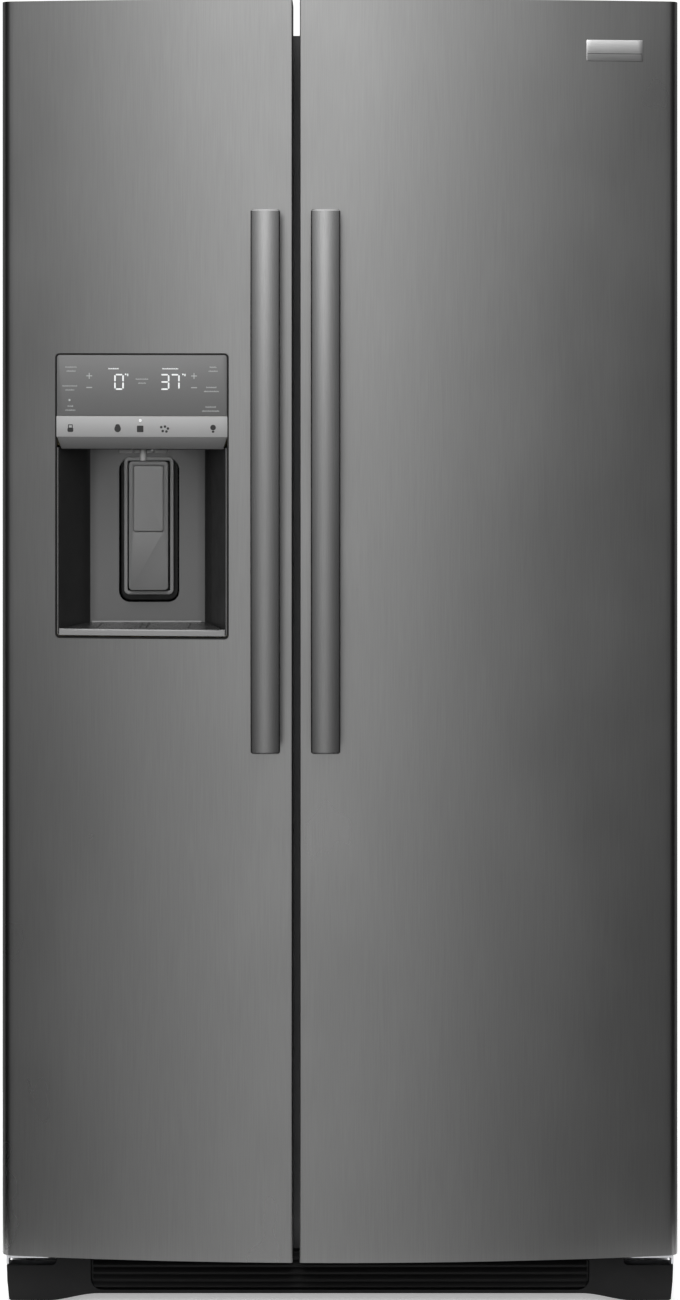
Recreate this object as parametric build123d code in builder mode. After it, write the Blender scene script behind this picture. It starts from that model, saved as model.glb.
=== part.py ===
from build123d import *
import os

# A side by side refrigerator: freezer on the left with an ice and water dispenser in its door,
# fresh food on the right. Millimetres. X runs to the right as you face the doors, Y runs to the
# back, Z up. The origin is the middle of the footprint, on the floor.

os.makedirs("parts", exist_ok=True)

# ---------------------------------------------------------------- driving dimensions
HALF_WIDTH = 458.5          # doors, over both outer edges
TOTAL_HEIGHT = 1773.0       # floor to the doors' top edge
HALF_DEPTH = 382.0          # handles' front to rear cover
DOOR_BOTTOM = 75.0
GAP_CENTRE = -59.0          # between the doors
GAP = 10.0
CREST_Y = -320.0            # front of the bow on the centre line
BOW_SAGITTA = 29.0          # how far the bow falls back at the outer edges
DOOR_BACK = -236.0          # back plane of both doors
CABINET_HALF = 454.0
CABINET_TOP = 1734.0
CABINET_BOTTOM = 60.0
CABINET_FRONT = -224.0
CABINET_REAR = 360.0

INSIDE_HALF = 408.0         # both compartments, out to the side walls
MULLION = (-84.0, -34.0)    # dividing wall between the compartments
CEILING = 1684.0
FLOOR = 105.0
STEP_Y = 125.0              # the compartments' floor steps up over the machinery
STEP_Z = 345.0
INSIDE_REAR = 310.0
MACHINE_FRONT = 165.0       # machinery space, behind and below the step
MACHINE_TOP = 305.0

SHEET = 1.2                 # painted steel
RETURN = 12.0               # folded edges along the backs of the door skins
PLASTIC = 2.0               # vacuum formed liners
WALL = 2.5                  # moulded parts
FIT = 0.2                   # between neighbours that don't move
CLEAR = 0.3                 # between pieces that move past each other

OUTER_ROUND = 14.0          # rolled outer edges of the doors
GAP_ROUND = 5.0
PIN_X = 440.5               # both hinge axes
PIN_Y = -251.0
TOP_PIN_R = 5.0
BOTTOM_PIN_R = 6.0
RUNNING = 0.05              # radial running clearance of pins, shafts and axles

DISPENSER_X = (-385.0, -149.5)
DISPENSER_Z = (912.0, 1297.0)
PANEL_Z = 1184.0            # bottom of the display and its light strip
RECESS_TOP = 1169.0
RECESS_FLOOR = 917.0
TRAY_TOP = 925.0
RECESS_BACK = -212.0

PANEL_THICK = 3.0
CORNER_ROUND = 6.0
PROUD = 0.4                     # dispenser surfaces in front of the door's skin
BOX_BACK = -282.0               # back of the electronics box above the bay
WELL_X = (-307.5, -226.5)       # pocket behind the paddle
WELL_Z = (946.0, 1150.0)
WELL_BACK = -200.0
PADDLE_X = (-291.25, -237.25)
PADDLE_Z = (969.0, 1142.0)
PADDLE_Y = (-226.0, -221.0)
PADDLE_PIVOT = (-223.5, 1138.0)
PADDLE_PIN_R = 2.5
FLAP_PIVOT = (-239.5, 1176.0)
NOZZLE_Y = -286.0

HANDLE_X = (-99.0, -19.0)
HANDLE_Z = (766.5, 1488.5)
HANDLE_WIDTH = 39.0

SIDES = (-1, 1)

# ---------------------------------------------------------------- derived stations
BOW_RADIUS = (HALF_WIDTH ** 2 + BOW_SAGITTA ** 2) / (2 * BOW_SAGITTA)
BOW_CENTRE = CREST_Y + BOW_RADIUS
FREEZER_DOOR = (-HALF_WIDTH, GAP_CENTRE - GAP / 2)      # outer edge, gap edge
FRIDGE_DOOR = (HALF_WIDTH, GAP_CENTRE + GAP / 2)
FREEZER_SPACE = (-INSIDE_HALF, MULLION[0])
FRIDGE_SPACE = (MULLION[1], INSIDE_HALF)
LINER_BACK = DOOR_BACK + PLASTIC        # door liner's flat, facing the cabinet
DIKE_TOP = -196.0                       # ridge round the door liner
BULGE_TOP = -190.0                      # freezer door liner over the dispenser
CAP_HEIGHT = 23.0
TOP_CAP_Z = 1727.0
POCKET_Z = 1730.0                       # floor of the hinge pocket in each door's top cap
GASKET = (LINER_BACK, CABINET_FRONT - 0.5)


# ---------------------------------------------------------------- helpers
def block(x, y, z, mode=Mode.ADD):
    """A rectangular block between two stations on each axis, in the part being built."""
    low = (min(x), min(y), min(z))
    size = (abs(x[1] - x[0]), abs(y[1] - y[0]), abs(z[1] - z[0]))
    with Locations(low):
        Box(*size, align=(Align.MIN, Align.MIN, Align.MIN), mode=mode)


def rod(start, axis, radius, length, mode=Mode.ADD):
    """A cylinder from a start point along an axis, in the part being built."""
    with Locations(Plane(origin=start, z_dir=axis)):
        Cylinder(radius, length, align=(Align.CENTER, Align.CENTER, Align.MIN), mode=mode)


def side_profile(points, x, mode=Mode.ADD):
    """A closed outline of (y, z) points, as wide as the two X stations."""
    with BuildSketch(Plane.YZ.offset(x[0])) as profile:
        with BuildLine():
            Polyline(*points, close=True)
        make_face()
    extrude(profile.sketch, amount=x[1] - x[0], mode=mode)


def bow_slice(inset, z, mode=Mode.INTERSECT):
    """Everything behind the bowed front, moved back by inset."""
    with Locations((0, BOW_CENTRE, z[0])):
        Cylinder(BOW_RADIUS - inset, z[1] - z[0], align=(Align.CENTER, Align.CENTER, Align.MIN),
                 mode=mode)


def slots(centre, y, pitch, count, size, depth):
    """Rows of round-ended slots, cut from a Y station towards the front."""
    with BuildSketch(Plane.XZ.offset(-y)) as pattern:
        with Locations(centre):
            with GridLocations(*pitch, *count):
                SlotOverall(*size)
    extrude(pattern.sketch, amount=depth, mode=Mode.SUBTRACT)


def open_box(x, y, z, wall=WALL, mode=Mode.ADD):
    """A tray or bin: four walls and a floor, open at the top."""
    block(x, y, z, mode)
    block((x[0] + wall, x[1] - wall), (y[0] + wall, y[1] - wall), (z[0] + wall, z[1] + wall),
          Mode.SUBTRACT)


def keep(builder, name):
    """Label a finished piece and write it."""
    builder.part.label = name
    export_step(builder.part, f"parts/{name}.step")


def keep_pieces(pieces, name):
    """Write pieces that meet face to face as one group, without joining them."""
    group = Compound(pieces)
    group.label = name
    export_step(group, f"parts/{name}.step")


def cells(part, regions):
    """The piece of a part that lies in each region, given by its X, Y and Z spans."""
    pieces = []
    for x, y, z in regions:
        with BuildPart() as piece:
            block(x, y, z)
            add(part, mode=Mode.INTERSECT)
        pieces += piece.solids()
    return pieces


def shrink(span, by):
    """Both ends of a span, moved towards its middle."""
    return (span[0] + by, span[1] - by)


# ---------------------------------------------------------------- cabinet shell
SCREW_R = 3.0
SCREW_HOLE_R = 3.2
SCREW_LENGTH = 14.0
HINGE_SCREWS = [(side * x, y) for side in SIDES for x, y in ((444, -205), (444, -160), (410, -180))]
SHELL_HALF = CABINET_HALF - SHEET
BACK_SHEET = 1.0


def hinge_screw_holes(top, depth):
    """Holes down from a level at each top hinge screw."""
    for x, y in HINGE_SCREWS:
        rod((x, y, top), (0, 0, -1), SCREW_HOLE_R, depth, Mode.SUBTRACT)


wrapper_y = (CABINET_FRONT + SHEET, CABINET_REAR)
wrapper_z = (CABINET_BOTTOM, CABINET_TOP)
with BuildPart() as cabinet_wrapper:
    block((-CABINET_HALF, CABINET_HALF), wrapper_y, wrapper_z)
    block((-SHELL_HALF, SHELL_HALF), shrink(wrapper_y, -2), shrink(wrapper_z, SHEET), Mode.SUBTRACT)
    block((-SHELL_HALF, SHELL_HALF), (MACHINE_FRONT, CABINET_REAR + 1),
          (CABINET_BOTTOM - 1, CABINET_BOTTOM + 2 * SHEET), Mode.SUBTRACT)
    hinge_screw_holes(CABINET_TOP + 1, 4)
wrapper_sheets = [((side * CABINET_HALF, side * SHELL_HALF), wrapper_y, wrapper_z) for side in SIDES]
wrapper_sheets += [((-SHELL_HALF, SHELL_HALF), wrapper_y, z)
                   for z in ((CABINET_BOTTOM, CABINET_BOTTOM + SHEET),
                             (CABINET_TOP - SHEET, CABINET_TOP))]
keep_pieces(cells(cabinet_wrapper.part, wrapper_sheets), "cabinet_wrapper")

with BuildPart() as cabinet_back_panel:
    side_profile([(CABINET_REAR, CABINET_TOP - SHEET - FIT), (CABINET_REAR, MACHINE_TOP),
                  (MACHINE_FRONT, MACHINE_TOP), (MACHINE_FRONT, CABINET_BOTTOM + SHEET + FIT),
                  (MACHINE_FRONT - BACK_SHEET, CABINET_BOTTOM + SHEET + FIT),
                  (MACHINE_FRONT - BACK_SHEET, MACHINE_TOP + BACK_SHEET),
                  (CABINET_REAR - BACK_SHEET, MACHINE_TOP + BACK_SHEET),
                  (CABINET_REAR - BACK_SHEET, CABINET_TOP - SHEET - FIT)],
                 shrink((-SHELL_HALF, SHELL_HALF), FIT))
keep(cabinet_back_panel, "cabinet_back_panel")


def compartment(space, grow, mode):
    """A compartment's space with its stepped floor, grown outwards on every side but the front."""
    front = CABINET_FRONT + SHEET + FIT
    side_profile([(front, FLOOR - grow), (STEP_Y + grow, FLOOR - grow),
                  (STEP_Y + grow, STEP_Z - grow), (INSIDE_REAR + grow, STEP_Z - grow),
                  (INSIDE_REAR + grow, CEILING + grow), (front, CEILING + grow)],
                 (space[0] - grow, space[1] + grow), mode)


with BuildPart() as cabinet_insulation:
    inner = MACHINE_FRONT - BACK_SHEET - FIT
    rear = CABINET_REAR - BACK_SHEET - FIT
    side_profile([(CABINET_FRONT + SHEET + FIT, CABINET_BOTTOM + SHEET + FIT),
                  (inner, CABINET_BOTTOM + SHEET + FIT), (inner, MACHINE_TOP + BACK_SHEET + FIT),
                  (rear, MACHINE_TOP + BACK_SHEET + FIT), (rear, CABINET_TOP - SHEET - FIT),
                  (CABINET_FRONT + SHEET + FIT, CABINET_TOP - SHEET - FIT)],
                 shrink((-SHELL_HALF, SHELL_HALF), FIT))
    for space in (FREEZER_SPACE, FRIDGE_SPACE):
        compartment(space, PLASTIC + FIT, Mode.SUBTRACT)
    hinge_screw_holes(CABINET_TOP, SCREW_LENGTH + 2)
keep(cabinet_insulation, "cabinet_insulation")

for liner_name, space in (("freezer_liner", FREEZER_SPACE), ("fridge_liner", FRIDGE_SPACE)):
    with BuildPart() as liner:
        compartment(space, PLASTIC, Mode.ADD)
        compartment(space, 0, Mode.SUBTRACT)
        front_band = (CABINET_FRONT + SHEET, CABINET_FRONT + SHEET + 2 * FIT)
        block(space, front_band, (FLOOR, CEILING), Mode.SUBTRACT)
    keep(liner, liner_name)

with BuildPart() as face_frame:
    frame_y = (CABINET_FRONT, CABINET_FRONT + SHEET)
    block((-CABINET_HALF, CABINET_HALF), frame_y, (CABINET_BOTTOM, CABINET_TOP))
    for space in (FREEZER_SPACE, FRIDGE_SPACE):
        block(space, frame_y, (FLOOR, CEILING), Mode.SUBTRACT)
keep(face_frame, "face_frame")

# ---------------------------------------------------------------- base
RAIL_X = (405.0, 450.0)
RAIL_WALL = 2.5
RAIL_Z = (12.0, CABINET_BOTTOM)
RAIL_Y = (-200.0, 352.0)
BEAM_FRONT = CABINET_FRONT + FIT
FOOT_X = 425.0
FOOT_Y = -180.0
FOOT_STEM_R = 6.0
ROLLER_Y = 330.0
ROLLER_R = 20.0
AXLE_R = 4.0
PAN_Z = (30.0, 32.0)

with BuildPart() as base_chassis:
    block((-CABINET_HALF + 2, CABINET_HALF - 2), (BEAM_FRONT, RAIL_Y[0]), (14, CABINET_BOTTOM))
    block(shrink((-CABINET_HALF + 2, CABINET_HALF - 2), RAIL_WALL),
          (BEAM_FRONT + RAIL_WALL, RAIL_Y[0] + 1), (10, CABINET_BOTTOM - RAIL_WALL), Mode.SUBTRACT)
    for side in SIDES:
        inner, outer = (side * x for x in RAIL_X)
        block((inner, outer), RAIL_Y, RAIL_Z)
        block((inner + side * RAIL_WALL, outer - side * RAIL_WALL), shrink(RAIL_Y, -1),
              (RAIL_Z[0] - 1, RAIL_Z[1] - RAIL_WALL), Mode.SUBTRACT)
        block((inner, outer), (FOOT_Y - 11, FOOT_Y + 11), (32, 46))
        rod((side * FOOT_X, FOOT_Y, 20), (0, 0, 1), FOOT_STEM_R + RUNNING, 30, Mode.SUBTRACT)
    block((-RAIL_X[0], RAIL_X[0]), (MACHINE_FRONT + 2, RAIL_Y[1]), PAN_Z)
    block((-RAIL_X[0], RAIL_X[0]), (MACHINE_FRONT + 2, MACHINE_FRONT + 4), (PAN_Z[0], 58))
    for side in SIDES:
        start = side * RAIL_X[0] if side > 0 else -RAIL_X[1]
        rod((start, ROLLER_Y, ROLLER_R), (1, 0, 0), AXLE_R, RAIL_X[1] - RAIL_X[0])
keep(base_chassis, "base_chassis")

for name, side in (("rear_roller_left", -1), ("rear_roller_right", 1)):
    with BuildPart() as roller:
        rod((side * FOOT_X - 11, ROLLER_Y, ROLLER_R), (1, 0, 0), ROLLER_R, 22)
        fillet(roller.edges().filter_by(GeomType.CIRCLE), 2)
        rod((side * FOOT_X - 12, ROLLER_Y, ROLLER_R), (1, 0, 0), AXLE_R + RUNNING, 24,
            Mode.SUBTRACT)
    keep(roller, name)

with BuildPart() as leveling_feet:
    for side in SIDES:
        rod((side * FOOT_X, FOOT_Y, 0), (0, 0, 1), 18, 8)
        rod((side * FOOT_X, FOOT_Y, 8), (0, 0, 1), FOOT_STEM_R, 46)
    fillet(leveling_feet.edges().filter_by(GeomType.CIRCLE).group_by(Axis.Z)[0], 2)
keep(leveling_feet, "leveling_feet")

GRILLE_Y = (-264.0, -244.0)
GRILLE_HALF = 455.0
GRILLE_WALL = 3.0
GRILLE_END_TOP = 52.0
GRILLE_TOP = 68.0
LOUVRE_HALF = 340.0
LOUVRE_PITCH = 11.0
LOUVRE_COUNT = 5

with BuildPart() as toe_grille:
    with BuildSketch(Plane.XZ.offset(-GRILLE_Y[1])) as grille_outline:
        with BuildLine():
            half = [(0, 7), (365, 7), (392, 2), (451.5, 2), (GRILLE_HALF, GRILLE_END_TOP),
                    (394, GRILLE_END_TOP), (390, GRILLE_TOP), (0, GRILLE_TOP)]
            Polyline(*half)
            Polyline(*[(-x, z) for x, z in half])
        make_face()
    extrude(grille_outline.sketch, amount=GRILLE_Y[1] - GRILLE_Y[0])
    hollow = offset(grille_outline.sketch, -GRILLE_WALL, mode=Mode.PRIVATE)
    extrude(hollow, amount=GRILLE_Y[1] - GRILLE_Y[0] - GRILLE_WALL, mode=Mode.SUBTRACT)
    slots((0, 39), GRILLE_Y[0] + 5, (2 * LOUVRE_HALF / 7, LOUVRE_PITCH), (7, LOUVRE_COUNT), (92, 6), 6)
    for side in SIDES:
        block((side * 372, side * 382), (GRILLE_Y[0] + 1, CABINET_FRONT), (20, 45))
keep(toe_grille, "toe_grille")

# ---------------------------------------------------------------- hinges
HINGE_PLATE = 4.0
ARM_HALF = 12.0
PLATE_OUTER = 450.0
COVER_WALL = 2.0

with BuildPart() as top_hinges:
    for side in SIDES:
        block((side * PLATE_OUTER, side * 400), (CABINET_FRONT + 2, -148), (CABINET_TOP,
              CABINET_TOP + HINGE_PLATE))
        block((side * (PIN_X - ARM_HALF), side * PLATE_OUTER),
              (PIN_Y, CABINET_FRONT + 3), (CABINET_TOP, CABINET_TOP + HINGE_PLATE))
        rod((side * PIN_X, PIN_Y, CABINET_TOP), (0, 0, 1), ARM_HALF, HINGE_PLATE)
        rod((side * PIN_X, PIN_Y, CABINET_TOP - 28), (0, 0, 1), TOP_PIN_R, 30)
    hinge_screw_holes(CABINET_TOP + HINGE_PLATE + 1, HINGE_PLATE + 2)
keep(top_hinges, "top_hinges")

with BuildPart() as hinge_covers:
    for side in SIDES:
        block((side * 453, side * 388), (CABINET_FRONT + 1, -138), (CABINET_TOP, CABINET_TOP + 28))
    fillet(hinge_covers.edges().filter_by(Axis.Z), 5)
    fillet(hinge_covers.faces().filter_by(Axis.Z).group_by(Axis.Z)[-1].edges(), 4)
    for side in SIDES:
        block((side * (453 - COVER_WALL), side * (388 + COVER_WALL)),
              (CABINET_FRONT, -138 - COVER_WALL), (CABINET_TOP, CABINET_TOP + 28 - COVER_WALL),
              Mode.SUBTRACT)
keep(hinge_covers, "hinge_covers")

BOTTOM_PLATE_Z = (62.0, 66.0)
BRACKET_Y = (CABINET_FRONT - 3, CABINET_FRONT)
BRACKET_SCREWS = [(side * x, z) for side in SIDES for x, z in ((412, 30), (438, 30), (425, 46))]

with BuildPart() as bottom_hinges:
    for side in SIDES:
        block((side * 398, side * 452), (PIN_Y - 14, BRACKET_Y[1]), BOTTOM_PLATE_Z)
        block((side * 398, side * 452), BRACKET_Y, (20, BOTTOM_PLATE_Z[1]))
        block((side * 452, side * 455), (PIN_Y - 14, BRACKET_Y[1]), (54, BOTTOM_PLATE_Z[1]))
        rod((side * PIN_X, PIN_Y, BOTTOM_PLATE_Z[1]), (0, 0, 1), 10, 9.7)
        rod((side * PIN_X, PIN_Y, BOTTOM_PLATE_Z[1]), (0, 0, 1), BOTTOM_PIN_R, 28)
    for x, z in BRACKET_SCREWS:
        rod((x, BRACKET_Y[0] - 1, z), (0, 1, 0), SCREW_HOLE_R, 6, Mode.SUBTRACT)
keep(bottom_hinges, "bottom_hinges")

# ---------------------------------------------------------------- machinery
COVER_Y = (CABINET_REAR, HALF_DEPTH)
COVER_X = (-440.0, 440.0)
COVER_Z = (34.0, 300.0)
COVER_SHEET = 1.5
COVER_SCREWS = [(x, z) for x in (-432, -150, 150, 432) for z in (COVER_Z[0] + 7, COVER_Z[1] - 7)]
GLAND = (390.0, 90.0)           # x and z of the cord's gland
GLAND_R = 4.5
INLET = (-390.0, 110.0)         # x and z of the water inlet
INLET_R = 8.0

with BuildPart() as machine_cover:
    block(COVER_X, (COVER_Y[0], COVER_Y[0] + COVER_SHEET), COVER_Z)
    block(shrink(COVER_X, 16), (COVER_Y[0], COVER_Y[1]), shrink(COVER_Z, 16))
    fillet(machine_cover.edges().filter_by(Axis.Y), 5)
    fillet(machine_cover.faces().sort_by(Axis.Y)[-1].edges(), 4)
    block(shrink(COVER_X, 18), (COVER_Y[0] - 1, COVER_Y[1] - COVER_SHEET), shrink(COVER_Z, 18),
          Mode.SUBTRACT)
    slots((0, 170), COVER_Y[1], (60, 20), (11, 9), (48, 6), 4)
    for x, z in COVER_SCREWS:
        rod((x, COVER_Y[0] - 1, z), (0, 1, 0), SCREW_HOLE_R, 4, Mode.SUBTRACT)
    rod((GLAND[0], COVER_Y[1] - 4, GLAND[1]), (0, 1, 0), 9, 6, Mode.SUBTRACT)
    rod((INLET[0], COVER_Y[1] - 4, INLET[1]), (0, 1, 0), 12, 6, Mode.SUBTRACT)
keep(machine_cover, "machine_cover")

with BuildPart() as cord_gland:
    rod((GLAND[0], COVER_Y[1] - 14, GLAND[1]), (0, 1, 0), 8.8, 14)
    rod((GLAND[0], COVER_Y[1] - 5.5, GLAND[1]), (0, 1, 0), 12, 3.8)
    rod((GLAND[0], COVER_Y[1] - 15, GLAND[1]), (0, 1, 0), GLAND_R, 16, Mode.SUBTRACT)
keep(cord_gland, "cord_gland")

with BuildPart() as water_valve:
    block((-425, -355), (300, 345), (72, 148))
    fillet(water_valve.edges(), 4)
    for dz in (-20, 20):
        rod((-405 + dz / 2, 322, INLET[1] + dz), (1, 0, 0), 15, 48)
    rod((INLET[0], 340, INLET[1]), (0, 1, 0), INLET_R, COVER_Y[1] - 340.5)
    rod((INLET[0], 340, INLET[1]), (0, 1, 0), 14, 12)
keep(water_valve, "water_valve")

COMPRESSOR_X = 170.0
COMPRESSOR_Y = 262.0
POT_R = 78.0
POT_Z = (56.0, 238.0)

with BuildPart() as compressor:
    rod((COMPRESSOR_X, COMPRESSOR_Y, POT_Z[0]), (0, 0, 1), POT_R, POT_Z[1] - POT_Z[0])
    fillet(compressor.edges().filter_by(GeomType.CIRCLE), 34)
    rod((COMPRESSOR_X, COMPRESSOR_Y, 140), (0, 0, 1), POT_R + 3, 6)
    block((COMPRESSOR_X - 100, COMPRESSOR_X + 100), (COMPRESSOR_Y - 60, COMPRESSOR_Y + 60), (47, 58))
    block((COMPRESSOR_X + 70, COMPRESSOR_X + 108), (COMPRESSOR_Y - 26, COMPRESSOR_Y + 26), (90, 170))
    for dx in (-88, 88):
        for dy in (-48, 48):
            rod((COMPRESSOR_X + dx, COMPRESSOR_Y + dy, PAN_Z[1]), (0, 0, 1), 10, 15)
keep(compressor, "compressor")

COIL_X = (-330.0, -190.0)
COIL_Y = (182.0, 344.0)
COIL_Z = (60.0, 240.0)
FAN_X = -160.0
FAN_Y = 262.0
FAN_Z = 150.0
FAN_R = 68.0


FIN = 1.0


def finned_coil(x, y, z, fins, tubes, tube_r):
    """Straight tubes along X through a row of thin fins."""
    with BuildSketch(Plane.XY.offset(z[0])) as fin_rows:
        with Locations(((x[0] + x[1]) / 2, (y[0] + y[1]) / 2)):
            with GridLocations((x[1] - x[0]) / (fins - 1), 0, fins, 1):
                Rectangle(FIN, y[1] - y[0])
    extrude(fin_rows.sketch, amount=z[1] - z[0])
    with BuildSketch(Plane.YZ.offset(x[0] - 8)) as tube_ends:
        with Locations(*tubes):
            Circle(tube_r)
    extrude(tube_ends.sketch, amount=x[1] - x[0] + 16)


with BuildPart() as condenser_coil:
    tube_rows = [(y, z) for y in (205, 243, 281, 319) for z in range(80, 230, 28)]
    finned_coil(COIL_X, COIL_Y, COIL_Z, 15, tube_rows, 3.5)
    for y in (190, 335):
        block((COIL_X[0], COIL_X[1]), (y - 3, y + 3), (PAN_Z[1], COIL_Z[0] + 3))
keep(condenser_coil, "condenser_coil")

with BuildPart() as fan_shroud:
    block((FAN_X - 14, FAN_X - 11), (180, 346), (PAN_Z[1], 242))
    rod((FAN_X - 14, FAN_Y, FAN_Z), (1, 0, 0), FAN_R + 8, 36)
    rod((FAN_X - 15, FAN_Y, FAN_Z), (1, 0, 0), FAN_R + 5, 38, Mode.SUBTRACT)
    block((FAN_X + 17, FAN_X + 21), (FAN_Y - 5, FAN_Y + 5), (FAN_Z - FAN_R - 6, FAN_Z + FAN_R + 6))
    rod((FAN_X + 18, FAN_Y, FAN_Z), (1, 0, 0), 26, 40)
    rod((FAN_X - 4, FAN_Y, FAN_Z), (1, 0, 0), 3, 24)
    block((FAN_X + 30, FAN_X + 50), (FAN_Y - 12, FAN_Y + 12), (PAN_Z[1], FAN_Z))
keep(fan_shroud, "fan_shroud")


def fan(centre, axis, radius, hub_r, hub_length, blades, shaft_r):
    """A fan turning on a shaft: a hub with a bore and pitched blades."""
    with BuildPart(Plane(origin=centre, z_dir=axis)) as impeller:
        with PolarLocations((hub_r + radius) / 2, blades):
            Box(radius - hub_r + 4, 1.1 * hub_r + 14, 1.6, rotation=(32, 0, 0))
        Cylinder(radius, hub_length, mode=Mode.INTERSECT)
        Cylinder(hub_r, hub_length)
        Cylinder(shaft_r + RUNNING, 4 * hub_length, mode=Mode.SUBTRACT)
    return impeller


keep(fan((FAN_X + 4, FAN_Y, FAN_Z), (1, 0, 0), FAN_R, 18, 22, 5, 3), "condenser_fan")

# ---------------------------------------------------------------- freezer interior
EVAP_COVER_Y = (246.0, 249.0)
EVAP_FAN = (-246.0, 262.0, 1130.0)
EVAP_FAN_R = 56.0
FREEZER_IN = shrink(FREEZER_SPACE, 3)

with BuildPart() as evaporator_cover:
    block(FREEZER_IN, EVAP_COVER_Y, (STEP_Z + 2, CEILING - 2))
    for dz in (-44, -22, 0, 22, 44):
        half = (EVAP_FAN_R ** 2 - dz ** 2) ** 0.5
        block((EVAP_FAN[0] - half, EVAP_FAN[0] + half), (240, 255),
              (EVAP_FAN[2] + dz - 7, EVAP_FAN[2] + dz + 7), Mode.SUBTRACT)
    for x in range(-370, -120, 40):
        block((x - 14, x + 14), (240, 255), (STEP_Z + 22, STEP_Z + 30), Mode.SUBTRACT)
    block((EVAP_FAN[0] - 3, EVAP_FAN[0] + 3), EVAP_COVER_Y, (1070, 1190))
    rod((EVAP_FAN[0], EVAP_COVER_Y[0], EVAP_FAN[2]), (0, 1, 0), 3, 30)
keep(evaporator_cover, "evaporator_cover")

keep(fan(EVAP_FAN, (0, 1, 0), EVAP_FAN_R - 4, 16, 18, 5, 3), "evaporator_fan")

with BuildPart() as evaporator_coil:
    tube_rows = [(y, z) for y in (270, 292) for z in range(430, 1040, 60)]
    finned_coil((-385, -107), (258, 303), (400, 1050), 17, tube_rows, 4)
keep(evaporator_coil, "evaporator_coil")

FREEZER_SHELF_Z = (1210.0, 965.0, 720.0)
SHELF_FRONT = -98.0
SHELF_WIRE = 2.0

with BuildPart() as freezer_shelves:
    for z in FREEZER_SHELF_Z:
        for y in (SHELF_FRONT + 3, 60, 236):
            rod((FREEZER_IN[0], y, z), (1, 0, 0), 3, FREEZER_IN[1] - FREEZER_IN[0])
        with BuildSketch(Plane.XZ.offset(-SHELF_FRONT - 3)) as wires:
            with Locations((sum(FREEZER_SPACE) / 2, z + 4)):
                with GridLocations(18, 0, 18, 1):
                    Circle(SHELF_WIRE)
        extrude(wires.sketch, amount=-333)
keep(freezer_shelves, "freezer_shelves")

BASKET_X = (-400.0, -92.0)
BASKETS = {"freezer_basket_upper": ((SHELF_FRONT - 2, 238.0), (430.0, 640.0)),
           "freezer_basket_lower": ((SHELF_FRONT - 2, 118.0), (118.0, 330.0))}

for name, (y, z) in BASKETS.items():
    with BuildPart() as basket:
        open_box(BASKET_X, y, z)
        slots((sum(BASKET_X) / 2, sum(z) / 2), y[0] + WALL + 1, (42, 22), (7, 7), (30, 10), WALL + 2)
    keep(basket, name)

BIN_X = (-385.0, -100.0)
BIN_Y = (-178.0, 205.0)
BIN_Z = (1256.0, 1480.0)
AUGER_Z = 1330.0
AUGER_X = -246.0
AUGER_R = 4.0
AUGER_BLADE_R = 56.0

with BuildPart() as ice_bin:
    open_box(BIN_X, BIN_Y, BIN_Z, 3)
    block((-300, -192), (BIN_Y[0] + 12, BIN_Y[0] + 70), (BIN_Z[0] - 1, BIN_Z[0] + 4), Mode.SUBTRACT)
    fillet(ice_bin.edges().filter_by(Axis.Z).group_by(Axis.Y)[0], 2)
    rod((AUGER_X, BIN_Y[1] - 6, AUGER_Z), (0, 1, 0), AUGER_R + RUNNING, 8, Mode.SUBTRACT)
keep(ice_bin, "ice_bin")

with BuildPart() as ice_auger:
    rod((AUGER_X, BIN_Y[0] + 12, AUGER_Z), (0, 1, 0), AUGER_R, BIN_Y[1] - BIN_Y[0] - 12)
    for turn in range(9):
        y = BIN_Y[0] + 24 + turn * 38
        with Locations(Location((AUGER_X, y, AUGER_Z), (0, turn * 60, 0))):
            Box(2 * AUGER_BLADE_R, 4, 14)
keep(ice_auger, "ice_auger")

with BuildPart() as auger_motor:
    block((AUGER_X - 45, AUGER_X + 45), (212, EVAP_COVER_Y[0] - 1), (AUGER_Z - 50, AUGER_Z + 50))
    fillet(auger_motor.edges().filter_by(Axis.Y), 12)
    rod((AUGER_X, 207, AUGER_Z), (0, 1, 0), 10, 6)
keep(auger_motor, "auger_motor")

MAKER_PIVOT = (30.0, 1580.0)    # y and z of the shut-off arm's pivot
ARM_R = 1.5
ARM_X = (-338.0, -150.0)

with BuildPart() as icemaker:
    block((-392, -342), (20, 150), (1545, 1660))
    block((-342, -140), (46, 140), (1570, 1612))
    for cup in range(7):
        x = -326 + cup * 28
        rod((x - 11, 93, 1616), (1, 0, 0), 38, 22, Mode.SUBTRACT)
    block((-342, -140), (138, 146), (1570, 1650))
    block((-342, -140), (60, 146), (1646, 1650))
    for x in (-330, -160):
        block((x - 8, x + 8), (100, 140), (1650, CEILING - FIT))
    rod((-342, MAKER_PIVOT[0], MAKER_PIVOT[1]), (1, 0, 0), 5, 3.5)
keep(icemaker, "icemaker")

with BuildPart() as icemaker_arm:
    with BuildLine() as arm_path:
        FilletPolyline((ARM_X[0], MAKER_PIVOT[0], MAKER_PIVOT[1]),
                       (ARM_X[0] + 8, MAKER_PIVOT[0], MAKER_PIVOT[1]),
                       (ARM_X[0] + 8, MAKER_PIVOT[0] - 46, MAKER_PIVOT[1] - 58),
                       (ARM_X[1], MAKER_PIVOT[0] - 46, MAKER_PIVOT[1] - 58),
                       (ARM_X[1], MAKER_PIVOT[0] - 6, MAKER_PIVOT[1] - 8), radius=3.5)
    with BuildSketch(Plane(origin=arm_path.line @ 0, z_dir=arm_path.line % 0)):
        Circle(ARM_R)
    sweep(path=arm_path.line)
keep(icemaker_arm, "icemaker_arm")

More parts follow.
